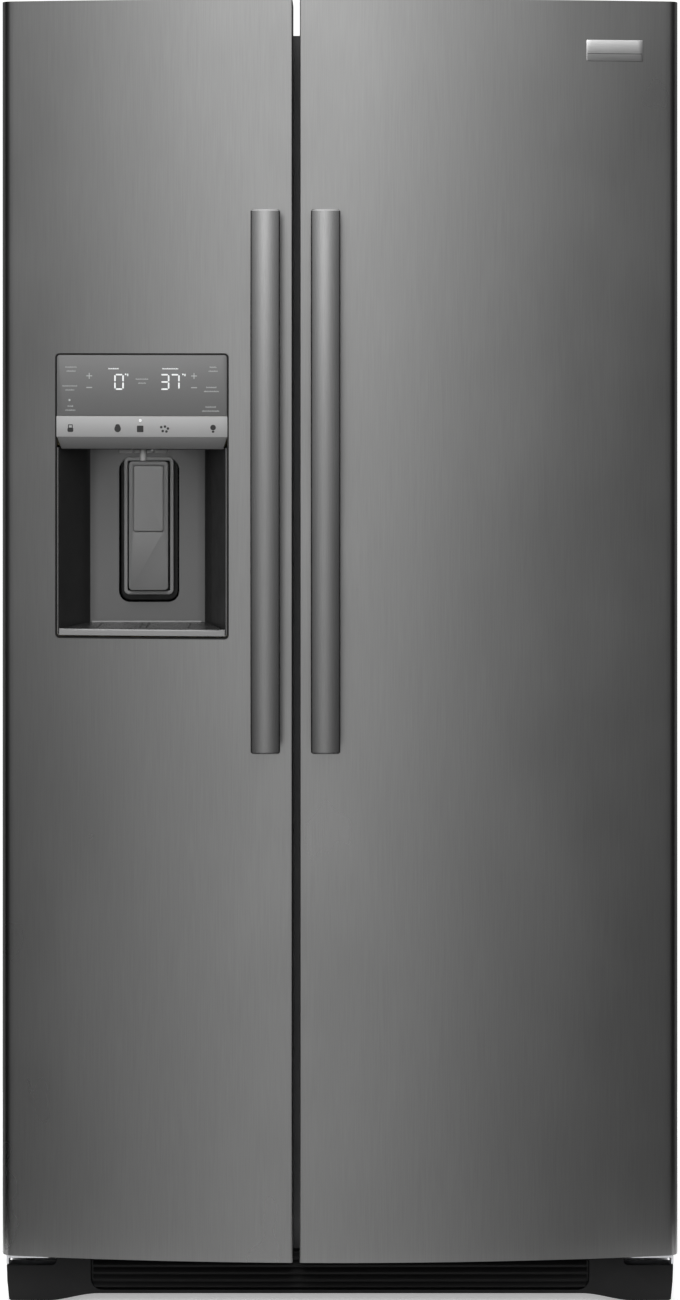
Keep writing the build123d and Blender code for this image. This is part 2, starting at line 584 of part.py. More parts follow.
# ---------------------------------------------------------------- fresh food interior
FRIDGE_IN = shrink(FRIDGE_SPACE, 4)
FRIDGE_SHELF_Z = (1440.0, 1205.0, 965.0, 706.0)
SHELF_REAR = 300.0
GLASS = 4.0

with BuildPart() as shelf_glass:
    for z in FRIDGE_SHELF_Z:
        block(shrink(FRIDGE_IN, 12), (SHELF_FRONT + 12, SHELF_REAR - 12), (z, z + GLASS))
keep(shelf_glass, "shelf_glass")

with BuildPart() as shelf_frames:
    for z in FRIDGE_SHELF_Z:
        block(FRIDGE_IN, (SHELF_FRONT, SHELF_REAR), (z - 12, z + GLASS + 3))
        block(shrink(FRIDGE_IN, 16), (SHELF_FRONT + 16, SHELF_REAR - 16), (z - 13, z + 9),
              Mode.SUBTRACT)
        block(shrink(FRIDGE_IN, 12 - FIT), (SHELF_FRONT + 12 - FIT, SHELF_REAR - 12 + FIT),
              (z - FIT, z + 9), Mode.SUBTRACT)
        fillet(shelf_frames.edges().filter_by(Axis.X).group_by(Axis.Y)[0], 4)
keep(shelf_frames, "shelf_frames")

CRISPER_X = shrink(FRIDGE_SPACE, 9)
CRISPERS = {"crisper_upper": ((SHELF_FRONT - 2, 290.0), (452.0, 688.0)),
            "crisper_lower": ((SHELF_FRONT - 2, 118.0), (118.0, 436.0))}

for name, (y, z) in CRISPERS.items():
    with BuildPart() as crisper:
        open_box(CRISPER_X, y, z, 3)
        block((CRISPER_X[0] + 60, CRISPER_X[1] - 60), (y[0] - 8, y[0] + 1), (z[1] - 34, z[1] - 4))
        fillet(crisper.edges().filter_by(Axis.X).group_by(Axis.Y)[0], 3)
    keep(crisper, name)


# ---------------------------------------------------------------- doors
def door_plan(door, z, inset=0.0):
    """A door seen from above: bowed front, rounded front corners and a flat back."""
    outer, gap = door
    side = 1 if outer > 0 else -1
    with BuildSketch(Plane.XY.offset(z)) as plan:
        with Locations((0, BOW_CENTRE)):
            Circle(BOW_RADIUS - inset)
        with Locations(((outer + gap) / 2, DOOR_BACK - inset)):
            Rectangle(abs(outer - gap) - 2 * inset, 2 * HALF_DEPTH,
                      align=(Align.CENTER, Align.MAX), mode=Mode.INTERSECT)
        front = plan.vertices().sort_by(Axis.Y)[:2].sort_by(Axis.X)
        fillet(front[1 if side > 0 else 0], OUTER_ROUND - inset)
        front = plan.vertices().sort_by(Axis.X)
        gap_end = front[:2] if side > 0 else front[-2:]
        fillet(gap_end.sort_by(Axis.Y)[0], GAP_ROUND - inset)
    return plan.sketch


def outer_side(door):
    """Minus one for the door hinged on the left, plus one for the right."""
    return 1 if door[0] > 0 else -1


def hinge_pocket(door, mode=Mode.SUBTRACT):
    """Room above the top cap for the hinge's arm, open to the back, the outside and the top."""
    side = outer_side(door)
    block((side * (PIN_X - 16), side * (HALF_WIDTH + 2)), (PIN_Y - 27, DOOR_BACK + 5),
          (POCKET_Z, TOTAL_HEIGHT + 2), mode)


def dispenser_window(grow):
    """The dispenser's outline through the front of the door."""
    with BuildSketch(Plane.XZ.offset(280)) as window:
        with Locations((sum(DISPENSER_X) / 2, sum(DISPENSER_Z) / 2)):
            RectangleRounded(DISPENSER_X[1] - DISPENSER_X[0] + 2 * grow,
                             DISPENSER_Z[1] - DISPENSER_Z[0] + 2 * grow, CORNER_ROUND + grow)
    extrude(window.sketch, amount=80, mode=Mode.SUBTRACT)


def door_skin(door):
    """Folded sheet round the front and both sides, with narrow returns along the back."""
    outer, gap = door
    height = TOTAL_HEIGHT - DOOR_BOTTOM
    with BuildPart() as skin:
        extrude(door_plan(door, DOOR_BOTTOM), amount=height)
        extrude(door_plan(door, DOOR_BOTTOM - 1, SHEET), amount=height + 2, mode=Mode.SUBTRACT)
        block(shrink(sorted((outer, gap)), RETURN), (DOOR_BACK - 5, DOOR_BACK + 5),
              (DOOR_BOTTOM - 1, TOTAL_HEIGHT + 1), Mode.SUBTRACT)
        hinge_pocket(door)
        if door is FREEZER_DOOR:
            dispenser_window(0)
    return skin


def door_caps(door):
    """Moulded top and bottom caps that close the folded sheet and hold the hinge pins."""
    side = outer_side(door)
    inset = SHEET + FIT
    with BuildPart() as caps:
        extrude(door_plan(door, TOP_CAP_Z, inset), amount=TOTAL_HEIGHT - 1 - TOP_CAP_Z)
        extrude(door_plan(door, TOP_CAP_Z, inset + WALL), amount=TOTAL_HEIGHT - 4 - TOP_CAP_Z,
                mode=Mode.SUBTRACT)
        block((side * (PIN_X - 19), side * (HALF_WIDTH - inset - 1)), (PIN_Y - 30, DOOR_BACK - inset),
              (TOP_CAP_Z, TOTAL_HEIGHT - 2))
        hinge_pocket(door)
        rod((side * PIN_X, PIN_Y, CABINET_TOP - 32), (0, 0, 1), 13, 28)
        rod((side * PIN_X, PIN_Y, CABINET_TOP - 28.5), (0, 0, 1), TOP_PIN_R + RUNNING, 40,
            Mode.SUBTRACT)
        low = DOOR_BOTTOM + 1
        extrude(door_plan(door, low, inset), amount=CAP_HEIGHT)
        extrude(door_plan(door, low + 3, inset + WALL), amount=CAP_HEIGHT, mode=Mode.SUBTRACT)
        rod((side * PIN_X, PIN_Y, low), (0, 0, 1), 13, CAP_HEIGHT)
        rod((side * PIN_X, PIN_Y, low - 1), (0, 0, 1), BOTTOM_PIN_R + RUNNING, CAP_HEIGHT - 1,
            Mode.SUBTRACT)
    return caps


def ridge(x, z, y, width, mode=Mode.ADD):
    """A rectangular ring standing up between two Y stations."""
    with BuildSketch(Plane.XZ.offset(-y[0])) as ring:
        with Locations((sum(x) / 2, sum(z) / 2)):
            RectangleRounded(x[1] - x[0], z[1] - z[0], 14)
            RectangleRounded(x[1] - x[0] - 2 * width, z[1] - z[0] - 2 * width, 6,
                             mode=Mode.SUBTRACT)
    extrude(ring.sketch, amount=y[0] - y[1], mode=mode)


DIKE_Z = (122.0, 1668.0)
DIKE_WIDTH = 22.0
DIKE_X = {FREEZER_DOOR: (-404.0, -96.0), FRIDGE_DOOR: (-22.0, 404.0)}
BULGE_X = (-380.0, -122.0)
BULGE_Z = (898.0, 1348.0)
LINER_Z = (79.0, 1726.0)
CHUTE_X = (-307.0, -227.0)
CHUTE_LOW = 1172.0
CHUTE_BEND = 1200.0
CHUTE = [(BULGE_TOP, 1342), (-226, 1342), (-276, CHUTE_BEND), (-276, CHUTE_LOW),
         (-234, CHUTE_LOW), (-234, 1196), (BULGE_TOP, 1288)]
CHUTE_BORE = [(BULGE_TOP + 1, 1339.5), (-224, 1339.5), (-273.5, 1199.6), (-273.5, 1171),
              (-236.5, 1171), (-236.5, 1198), (BULGE_TOP + 1, 1290.5)]
BAY_WIDTH = (165.0, 227.0)             # at the back wall and at the front
BAY_SLOPE = 9.0                         # how far the bay's ceiling falls towards the back
BAY_FRONT = -296.0
WINDOW_GAP = 3.0                        # foam to the dispenser's window
FOAM_SPLIT = DOOR_BACK - FIT            # the foam's slab ends and its ridges start


def recess(grow, mode):
    """The dispenser's bay: wide at the front, narrowing towards its back wall."""
    x_mid = sum(DISPENSER_X) / 2
    height = RECESS_TOP - RECESS_FLOOR
    middle = (RECESS_TOP + RECESS_FLOOR) / 2
    with BuildSketch(Plane.XZ.offset(-BAY_FRONT)) as front:
        with Locations((x_mid, middle)):
            Rectangle(BAY_WIDTH[1] + 2 * grow, height + 2 * grow)
    with BuildSketch(Plane.XZ.offset(-RECESS_BACK - grow)) as back:
        with Locations((x_mid, middle - BAY_SLOPE / 2)):
            Rectangle(BAY_WIDTH[0] + 2 * grow, height - BAY_SLOPE + 2 * grow)
    loft([front.sketch, back.sketch], mode=mode)
    extrude(front.sketch, amount=40, mode=mode)


def dispenser_room(shell):
    """Room in the freezer door's foam for the dispenser, its chute and the pocket behind it."""
    well_x = shrink(WELL_X, -shell)
    window_x = shrink(DISPENSER_X, -WINDOW_GAP)
    dispenser_window(WINDOW_GAP)
    recess(WALL + FIT, Mode.SUBTRACT)
    block(window_x, (BAY_FRONT, RECESS_BACK + WALL + FIT), (RECESS_TOP - BAY_SLOPE, CHUTE_LOW),
          Mode.SUBTRACT)
    block(well_x, (RECESS_BACK - 5, WELL_BACK + shell), (DISPENSER_Z[0], CHUTE_LOW), Mode.SUBTRACT)
    block(shrink(DISPENSER_X, -FIT), (-2 * HALF_DEPTH, BOX_BACK + FIT),
          (PANEL_Z - 4, DISPENSER_Z[1] + FIT), Mode.SUBTRACT)
    side_profile(CHUTE, well_x, Mode.SUBTRACT)
    block(well_x, (FOAM_SPLIT, BULGE_TOP), (DISPENSER_Z[1] + WINDOW_GAP, BULGE_Z[1]), Mode.SUBTRACT)


def door_foam(door):
    """Foam between the skin and the liner, filling the liner's ridge, in blocks."""
    side = outer_side(door)
    inset = SHEET + FIT
    shell = PLASTIC + FIT
    foam_z = (DOOR_BOTTOM + 1 + CAP_HEIGHT + FIT, TOP_CAP_Z - FIT)
    bar = DIKE_WIDTH - 2 * shell
    ring_x, ring_z = shrink(DIKE_X[door], shell), shrink(DIKE_Z, shell)
    with BuildPart() as foam:
        extrude(door_plan(door, foam_z[0], inset), amount=foam_z[1] - foam_z[0])
        block(shrink(sorted(door), RETURN + inset), (DOOR_BACK - 4, FOAM_SPLIT), foam_z)
        ridge(ring_x, ring_z, (DOOR_BACK - 5, DIKE_TOP - shell), bar)
        block(shrink(ring_x, bar), (FOAM_SPLIT, DIKE_TOP), shrink(ring_z, bar), Mode.SUBTRACT)
        rod((side * PIN_X, PIN_Y, CABINET_TOP - 33), (0, 0, 1), 13 + FIT, 40, Mode.SUBTRACT)
        if door is FREEZER_DOOR:
            block(shrink(BULGE_X, shell), (DOOR_BACK - 5, BULGE_TOP - shell), shrink(BULGE_Z, shell))
            dispenser_room(shell)
    whole = sorted(door)
    slab, rear = (-HALF_DEPTH, FOAM_SPLIT), (FOAM_SPLIT, BULGE_TOP)
    regions = [((x, x + bar), rear, ring_z) for x in (ring_x[0], ring_x[1] - bar)]
    regions += [(shrink(ring_x, bar), rear, (z, z + bar)) for z in (ring_z[0], ring_z[1] - bar)]
    if door is FRIDGE_DOOR:
        return cells(foam.part, [(whole, slab, foam_z), *regions])
    bulge_x, bulge_z = shrink(BULGE_X, shell), shrink(BULGE_Z, shell)
    window_x, well_x = shrink(DISPENSER_X, -WINDOW_GAP), shrink(WELL_X, -shell)
    low, high, top = RECESS_FLOOR - WALL - FIT, CHUTE_LOW, DISPENSER_Z[1] + WINDOW_GAP
    back_wall = RECESS_BACK + WALL + FIT
    regions += [(whole, slab, (foam_z[0], low)), (whole, slab, (top, foam_z[1]))]
    regions += [((whole[0], window_x[0]), slab, (low, top)), ((window_x[1], whole[1]), slab, (low, top))]
    for left, right, bulge in ((window_x[0], well_x[0], (bulge_x[0], well_x[0])),
                               (well_x[1], window_x[1], (well_x[1], bulge_x[1]))):
        regions += [((left, right), slab, (low, high)), ((left, right), slab, (high, top))]
        regions += [(bulge, (FOAM_SPLIT, back_wall), (low, high))]
        regions += [(bulge, (back_wall, BULGE_TOP), (low, high))]
        regions.append((bulge, rear, (high, bulge_z[1])))
    regions += [(well_x, slab, (high, CHUTE_BEND)), (well_x, slab, (CHUTE_BEND, top))]
    regions += [(well_x, rear, (low, high)), (well_x, rear, (high, bulge_z[1]))]
    regions.append((bulge_x, rear, (bulge_z[0], low)))
    return cells(foam.part, regions)


def door_liner(door):
    """Vacuum formed inner face with a ridge round the storage area."""
    outer, gap = sorted(door)
    x = DIKE_X[door]
    with BuildPart() as liner:
        block((outer + 4, gap - 4), (DOOR_BACK, LINER_BACK), LINER_Z)
        ridge(x, DIKE_Z, (DOOR_BACK, DIKE_TOP), DIKE_WIDTH)
        ridge(shrink(x, PLASTIC), shrink(DIKE_Z, PLASTIC), (DOOR_BACK - 1, DIKE_TOP - PLASTIC),
              DIKE_WIDTH - 2 * PLASTIC, Mode.SUBTRACT)
        if door is FREEZER_DOOR:
            block(BULGE_X, (DOOR_BACK, BULGE_TOP), BULGE_Z)
            block(shrink(BULGE_X, PLASTIC), (DOOR_BACK - 1, BULGE_TOP - PLASTIC),
                  shrink(BULGE_Z, PLASTIC), Mode.SUBTRACT)
            side_profile(CHUTE, CHUTE_X, Mode.SUBTRACT)
    return liner


def gasket(door):
    """Magnetic seal between the liner and the face frame."""
    side = outer_side(door)
    x = sorted((side * 438.5, door[1] + side * 3))
    with BuildPart() as seal:
        ridge(x, (82, 1706), GASKET, 16)
        ridge(shrink(x, 5), (87, 1701), (GASKET[0] + 3, GASKET[1] - 3), 6, Mode.SUBTRACT)
    return seal


BIN_DEPTH = (LINER_BACK + FIT, -120.0)
FREEZER_BINS = [(150, 100), (330, 90), (510, 90), (690, 90), (1540, 100)]
FRIDGE_BINS = [(150, 130), (400, 110), (640, 110), (880, 110), (1130, 100)]
BIN_ENDS = {FREEZER_DOOR: (-381.0, -125.0), FRIDGE_DOOR: (4.0, 381.0)}
DAIRY = ((90.0, 381.0), (1470.0, 1610.0))
DAIRY_PIVOT = (-128.0, 1598.0)


def door_bins(door, rows):
    """Open bins hooked between the liner's ridges."""
    with BuildPart() as bins:
        for low, height in rows:
            open_box(BIN_ENDS[door], BIN_DEPTH, (low, low + height))
            if door is FRIDGE_DOOR:
                block(shrink(BIN_ENDS[door], 30), (BIN_DEPTH[1] - WALL - 1, BIN_DEPTH[1] + 1),
                      (low + 60, low + height - 12), Mode.SUBTRACT)
        if door is FRIDGE_DOOR:
            x, z = DAIRY
            block(x, BIN_DEPTH, z)
            block(shrink(x, WALL), (BIN_DEPTH[0] + WALL, BIN_DEPTH[1] + 1), shrink(z, WALL),
                  Mode.SUBTRACT)
            block(x, (BIN_DEPTH[1] - WALL, BIN_DEPTH[1]), (z[0], z[0] + 24))
            for end in x:
                inward = 1 if end == x[0] else -1
                rod((end, DAIRY_PIVOT[0], DAIRY_PIVOT[1]), (inward, 0, 0), 3, 8)
    return bins


for door, word, rows in ((FREEZER_DOOR, "freezer", FREEZER_BINS),
                         (FRIDGE_DOOR, "fridge", FRIDGE_BINS)):
    keep(door_skin(door), f"{word}_door_skin")
    keep(door_caps(door), f"{word}_door_caps")
    keep_pieces(door_foam(door), f"{word}_door_foam")
    keep(door_liner(door), f"{word}_door_liner")
    keep(gasket(door), f"{word}_gasket")
    keep(door_bins(door, rows), f"{word}_door_bins")

with BuildPart() as dairy_lid:
    x, z = DAIRY
    lid_x = shrink(x, WALL + CLEAR)
    block(lid_x, (BIN_DEPTH[1] - 3, BIN_DEPTH[1] - 0.5), (z[0] + 26, DAIRY_PIVOT[1]))
    block(lid_x, (DAIRY_PIVOT[0] - 5, BIN_DEPTH[1] - 0.5), (DAIRY_PIVOT[1] - 5, DAIRY_PIVOT[1] + 5))
    rod((x[0], DAIRY_PIVOT[0], DAIRY_PIVOT[1]), (1, 0, 0), 3 + RUNNING, 9, Mode.SUBTRACT)
    rod((x[1], DAIRY_PIVOT[0], DAIRY_PIVOT[1]), (-1, 0, 0), 3 + RUNNING, 9, Mode.SUBTRACT)
    block((200, 260), (BIN_DEPTH[1] - 3, BIN_DEPTH[1] + 8), (z[0] + 28, z[0] + 33))
keep(dairy_lid, "dairy_lid")

# ---------------------------------------------------------------- handles and nameplate
BAR_DEPTH = 27.0
BAR_BULGE = 12.0
POST_HEIGHT = 46.0


def handle(x):
    """A bar with a gently bowed front, carried by a post behind each end."""
    low, high = HANDLE_Z
    middle = (low + high) / 2
    end_front = -HALF_DEPTH + BAR_BULGE
    half = HANDLE_WIDTH / 2
    with BuildPart() as bar:
        with BuildSketch(Plane.YZ.offset(x - half)):
            with BuildLine():
                ThreePointArc((end_front, low), (-HALF_DEPTH, middle), (end_front, high))
                Line((end_front, high), (end_front + BAR_DEPTH - 4, high))
                ThreePointArc((end_front + BAR_DEPTH - 4, high), (-HALF_DEPTH + BAR_DEPTH, middle),
                              (end_front + BAR_DEPTH - 4, low))
                Line((end_front + BAR_DEPTH - 4, low), (end_front, low))
            make_face()
        extrude(amount=HANDLE_WIDTH)
        fillet(bar.edges().filter_by(GeomType.CIRCLE).group_by(Axis.Y)[0], 6)
        chamfer(bar.faces().filter_by(Axis.Z).edges().filter_by(Axis.X), 1.5)
        for z in ((low + 2, low + POST_HEIGHT), (high - POST_HEIGHT, high - 2)):
            block(shrink((x - half, x + half), 3), (end_front + 12, -312), z)
        bow_slice(-0.1, (low, high), Mode.SUBTRACT)
    return bar


for x, word in zip(HANDLE_X, ("freezer", "fridge")):
    keep(handle(x), f"{word}_handle")

NAMEPLATE_X = (332.0, 410.0)
NAMEPLATE_Z = (1691.0, 1720.0)

with BuildPart() as nameplate:
    block(NAMEPLATE_X, (-330, -280), NAMEPLATE_Z)
    fillet(nameplate.edges().filter_by(Axis.Y), 2)
    bow_slice(-1.6, NAMEPLATE_Z)
    bow_slice(-0.1, shrink(NAMEPLATE_Z, -1), Mode.SUBTRACT)
keep(nameplate, "nameplate")

# ---------------------------------------------------------------- dispenser


def bowed_plate(z, proud, thick, round_end):
    """A separate plate that follows the bow of the doors, rounded at its top or bottom corners."""
    with BuildPart() as plate:
        block(shrink(DISPENSER_X, FIT), (-345, -270), z)
        fillet(plate.edges().filter_by(Axis.Y).group_by(Axis.Z)[round_end], CORNER_ROUND)
        bow_slice(-proud, z)
        bow_slice(thick - proud, z, Mode.SUBTRACT)
    return plate.part


def electronics_box():
    """A shallow case behind the display, open at the front."""
    z = (PANEL_Z, DISPENSER_Z[1] - FIT)
    x = shrink(DISPENSER_X, FIT)
    with BuildPart() as case:
        block(x, (-345, BOX_BACK), z)
        fillet(case.edges().filter_by(Axis.Y).group_by(Axis.Z)[-1], CORNER_ROUND)
        bow_slice(PANEL_THICK - PROUD + 0.1, z)
        block(shrink(x, PLASTIC), (-345, BOX_BACK - PLASTIC), shrink(z, PLASTIC), Mode.SUBTRACT)
    return case.part


flange = bowed_plate((DISPENSER_Z[0] + FIT, PANEL_Z), PROUD, 3.4, 0)
case = electronics_box()

with BuildPart() as dispenser_housing:
    recess(WALL, Mode.ADD)
    bow_slice(-PROUD, (RECESS_FLOOR - 10, RECESS_TOP + 10))
    add(flange)
    add(case)
    block(shrink(WELL_X, -PLASTIC), (RECESS_BACK - 2, WELL_BACK + PLASTIC), shrink(WELL_Z, -PLASTIC))
    recess(0, Mode.SUBTRACT)
    block(WELL_X, (RECESS_BACK - 2, WELL_BACK), WELL_Z, Mode.SUBTRACT)
    for x in (WELL_X[0] - 1, WELL_X[1] - 3):
        block((x, x + 4), (PADDLE_PIVOT[0] - 6, RECESS_BACK + 1), (1130, 1146))
    rod((WELL_X[0], PADDLE_PIVOT[0], PADDLE_PIVOT[1]), (1, 0, 0), PADDLE_PIN_R,
        WELL_X[1] - WELL_X[0])
    block(shrink(CHUTE_X, WALL), (-273.5, -236.5), (RECESS_TOP - 12, RECESS_TOP + 5), Mode.SUBTRACT)
keep(dispenser_housing, "dispenser_housing")

with BuildPart() as control_panel:
    add(bowed_plate((PANEL_Z + FIT, DISPENSER_Z[1] - FIT), PROUD, PANEL_THICK, -1))
keep(control_panel, "control_panel")

with BuildPart() as ice_chute:
    side_profile(CHUTE, CHUTE_X)
    side_profile(CHUTE_BORE, shrink(CHUTE_X, WALL), Mode.SUBTRACT)
keep(ice_chute, "ice_chute")

with BuildPart() as ice_flap:
    block(shrink(CHUTE_X, WALL + CLEAR + 0.5), (-272, FLAP_PIVOT[0]), (FLAP_PIVOT[1] - 1,
          FLAP_PIVOT[1] + 1))
    rod((CHUTE_X[0] + WALL + 1, FLAP_PIVOT[0], FLAP_PIVOT[1]), (1, 0, 0), 2,
        CHUTE_X[1] - CHUTE_X[0] - 2 * WALL - 2)
keep(ice_flap, "ice_flap")

with BuildPart() as water_nozzle:
    rod((sum(CHUTE_X) / 2, NOZZLE_Y, 1143), (0, 0, 1), 4.5, 24)
    rod((sum(CHUTE_X) / 2, NOZZLE_Y, 1142), (0, 0, 1), 3, 26, Mode.SUBTRACT)
keep(water_nozzle, "water_nozzle")

with BuildPart() as dispenser_paddle:
    block(PADDLE_X, PADDLE_Y, PADDLE_Z)
    fillet(dispenser_paddle.edges().filter_by(Axis.Y).group_by(Axis.Z)[0], 10)
    block(shrink(PADDLE_X, 7), (PADDLE_Y[0] - 2, PADDLE_Y[0] + 1), (1043, 1128))
    rod((PADDLE_X[0], PADDLE_PIVOT[0], PADDLE_PIVOT[1]), (1, 0, 0), 5, PADDLE_X[1] - PADDLE_X[0])
    rod((PADDLE_X[0] - 1, PADDLE_PIVOT[0], PADDLE_PIVOT[1]), (1, 0, 0), PADDLE_PIN_R + RUNNING,
        PADDLE_X[1] - PADDLE_X[0] + 2, Mode.SUBTRACT)
keep(dispenser_paddle, "dispenser_paddle")

with BuildPart() as drip_tray:
    recess(-1, Mode.ADD)
    bow_slice(0, (RECESS_FLOOR - 10, RECESS_TOP + 10))
    block(DISPENSER_X, (-345, -200), (TRAY_TOP, RECESS_TOP + 5), Mode.SUBTRACT)
    block((-332, -202), (-284, -222), (RECESS_FLOOR + 3, TRAY_TOP - 3), Mode.SUBTRACT)
    for row in range(5):
        y = -278 + row * 12
        block((-328, -206), (y, y + 6), (TRAY_TOP - 5, TRAY_TOP + 1), Mode.SUBTRACT)
keep(drip_tray, "drip_tray")

# ---------------------------------------------------------------- fasteners
HEAD_R = 6.0
HEAD_HEIGHT = 4.0


def screw(head_base, axis, length):
    """A domed head standing on a face and a shank going the other way."""
    rod(head_base, axis, HEAD_R, HEAD_HEIGHT)
    rod(head_base, tuple(-a for a in axis), SCREW_R, length)


with BuildPart() as cabinet_screws:
    for x, y in HINGE_SCREWS:
        screw((x, y, CABINET_TOP + HINGE_PLATE), (0, 0, 1), SCREW_LENGTH)
    for x, z in BRACKET_SCREWS:
        screw((x, BRACKET_Y[0], z), (0, -1, 0), BRACKET_Y[1] - BRACKET_Y[0])
    for x, z in COVER_SCREWS:
        screw((x, COVER_Y[0] + COVER_SHEET, z), (0, 1, 0), COVER_SHEET)
keep(cabinet_screws, "cabinet_screws")
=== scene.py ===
from math import atan2, cos, pi, radians, sin, sqrt

import bmesh
import bpy
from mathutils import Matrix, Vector


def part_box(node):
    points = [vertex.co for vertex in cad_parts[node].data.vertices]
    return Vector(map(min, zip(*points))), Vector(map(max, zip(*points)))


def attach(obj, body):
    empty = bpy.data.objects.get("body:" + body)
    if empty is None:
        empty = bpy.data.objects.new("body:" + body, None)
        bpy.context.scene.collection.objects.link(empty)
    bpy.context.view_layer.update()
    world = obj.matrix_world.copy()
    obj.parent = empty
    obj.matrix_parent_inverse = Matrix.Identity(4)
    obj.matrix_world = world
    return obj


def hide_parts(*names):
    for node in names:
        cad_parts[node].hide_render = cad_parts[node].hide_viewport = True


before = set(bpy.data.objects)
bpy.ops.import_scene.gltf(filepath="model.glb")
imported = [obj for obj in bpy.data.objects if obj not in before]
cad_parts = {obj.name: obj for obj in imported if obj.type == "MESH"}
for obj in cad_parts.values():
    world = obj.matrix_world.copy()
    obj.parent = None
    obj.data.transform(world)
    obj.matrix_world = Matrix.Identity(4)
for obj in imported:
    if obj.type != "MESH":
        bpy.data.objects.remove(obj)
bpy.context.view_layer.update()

MM = 0.001

# ---------------------------------------------------------------- stations read from the frame
SKIN_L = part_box("freezer_door_skin")
SKIN_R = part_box("fridge_door_skin")
HANDLE_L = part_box("freezer_handle")
HANDLE_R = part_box("fridge_handle")
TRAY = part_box("drip_tray")
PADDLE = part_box("dispenser_paddle")
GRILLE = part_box("toe_grille")
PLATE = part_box("nameplate")

CREST_Y = SKIN_R[0].y                   # front of the bow, on the centre line
HALF_WIDTH = SKIN_R[1].x
SAGITTA = 29 * MM                       # how far the bow falls back at the outer edges
BOW_R = (HALF_WIDTH ** 2 + SAGITTA ** 2) / (2 * SAGITTA)
BOW_C = CREST_Y + BOW_R
DOOR_LOW, DOOR_HIGH = SKIN_R[0].z, SKIN_R[1].z
DOOR_BACK = SKIN_R[1].y
OUTER_ROUND = 14 * MM
GAP_ROUND = 1.3 * MM
SHEET = 1.2 * MM


def bow_y(x, proud=0.0):
    """Y of the doors' bowed front at x, or of a surface a little in front of it."""
    return BOW_C - sqrt((BOW_R + proud) ** 2 - x * x)


# ---------------------------------------------------------------- camera
FOCAL_PIXELS = 2584
FRAME_SIZE = (680, 1300)
CAMERA_Y = -3.791
EYE_Z = 1.339
HORIZON = 322                           # rows from the top of the frame

cam_data = bpy.data.cameras.new("camera")
camera = bpy.data.objects.new("camera", cam_data)
bpy.context.scene.collection.objects.link(camera)
bpy.context.scene.camera = camera
cam_data.sensor_width = 36
cam_data.lens = FOCAL_PIXELS / FRAME_SIZE[1] * cam_data.sensor_width
cam_data.shift_y = (HORIZON - FRAME_SIZE[1] / 2) / FRAME_SIZE[1]
camera.location = (0, CAMERA_Y, EYE_Z)
camera.rotation_euler = (radians(90), 0, 0)


# ---------------------------------------------------------------- material kit
class Shader:
    """A node material with a Principled shader, and short calls for what feeds it."""

    def __init__(self, name, color, roughness, metallic=0.0, **inputs):
        self.material = bpy.data.materials.new(name)
        self.material.use_nodes = True
        self.nodes = self.material.node_tree.nodes
        self.links = self.material.node_tree.links
        self.bsdf = self.nodes["Principled BSDF"]
        self.color = color
        self.roughness = roughness
        self.bsdf.inputs["Metallic"].default_value = metallic
        for socket, value in inputs.items():
            self.bsdf.inputs[socket.replace("_", " ")].default_value = value
        self.place = self.nodes.new("ShaderNodeTexCoord").outputs["Object"]
        self.height = None

    def noise(self, scale, stretch=(1, 1, 1), detail=4.0, rough=0.55):
        mapping = self.nodes.new("ShaderNodeMapping")
        mapping.inputs["Scale"].default_value = stretch
        self.links.new(self.place, mapping.inputs["Vector"])
        tex = self.nodes.new("ShaderNodeTexNoise")
        tex.inputs["Scale"].default_value = scale
        tex.inputs["Detail"].default_value = detail
        tex.inputs["Roughness"].default_value = rough
        self.links.new(mapping.outputs["Vector"], tex.inputs["Vector"])
        return tex.outputs["Fac"]

    def remap(self, value, low, high, source=(0.3, 0.7)):
        node = self.nodes.new("ShaderNodeMapRange")
        for socket, number in zip(("From Min", "From Max", "To Min", "To Max"),
                                  (*source, low, high)):
            node.inputs[socket].default_value = number
        self.links.new(value, node.inputs["Value"])
        return node.outputs["Result"]

    def tint(self, value, spread):
        """Base colour that varies a little either side of the nominal one."""
        mix = self.nodes.new("ShaderNodeMix")
        mix.data_type = "RGBA"
        dark = [c * (1 - spread) for c in self.color]
        light = [min(1.0, c * (1 + spread)) for c in self.color]
        mix.inputs[6].default_value = (*dark, 1)
        mix.inputs[7].default_value = (*light, 1)
        self.links.new(value, mix.inputs[0])
        self.links.new(mix.outputs[2], self.bsdf.inputs["Base Color"])
        return self

    def rough(self, value, spread):
        low, high = self.roughness - spread, self.roughness + spread
        self.links.new(self.remap(value, low, high), self.bsdf.inputs["Roughness"])
        return self

    def bump(self, value, strength, distance):
        node = self.nodes.new("ShaderNodeBump")
        node.inputs["Strength"].default_value = strength
        node.inputs["Distance"].default_value = distance
        self.links.new(value, node.inputs["Height"])
        if self.height:
            self.links.new(self.height, node.inputs["Normal"])
        self.height = node.outputs["Normal"]
        self.links.new(self.height, self.bsdf.inputs["Normal"])
        return self


def brushed(name, color, roughness, grain=(1, 1, 0.02), scale=900, spread=0.05, **inputs):
    """Metal with a fine grain along one axis and faint cloudiness."""
    s = Shader(name, color, roughness, 1.0, **inputs)
    lines = s.noise(scale, grain, 3)
    s.tint(s.remap(lines, 0, 1), spread)
    s.rough(s.noise(6, (1, 1, 0.6), 3), 0.03)
    return s.bump(lines, 0.06, 0.0002).material


def moulded(name, color, roughness, grain_scale=700, grain=0.05, spread=0.04, **inputs):
    """Moulded plastic: fine grain, slight cloudiness and uneven gloss."""
    s = Shader(name, color, roughness, **inputs)
    s.tint(s.noise(14, detail=5), spread)
    s.rough(s.noise(35), 0.05)
    return s.bump(s.noise(grain_scale, detail=2), grain, 0.0003).material


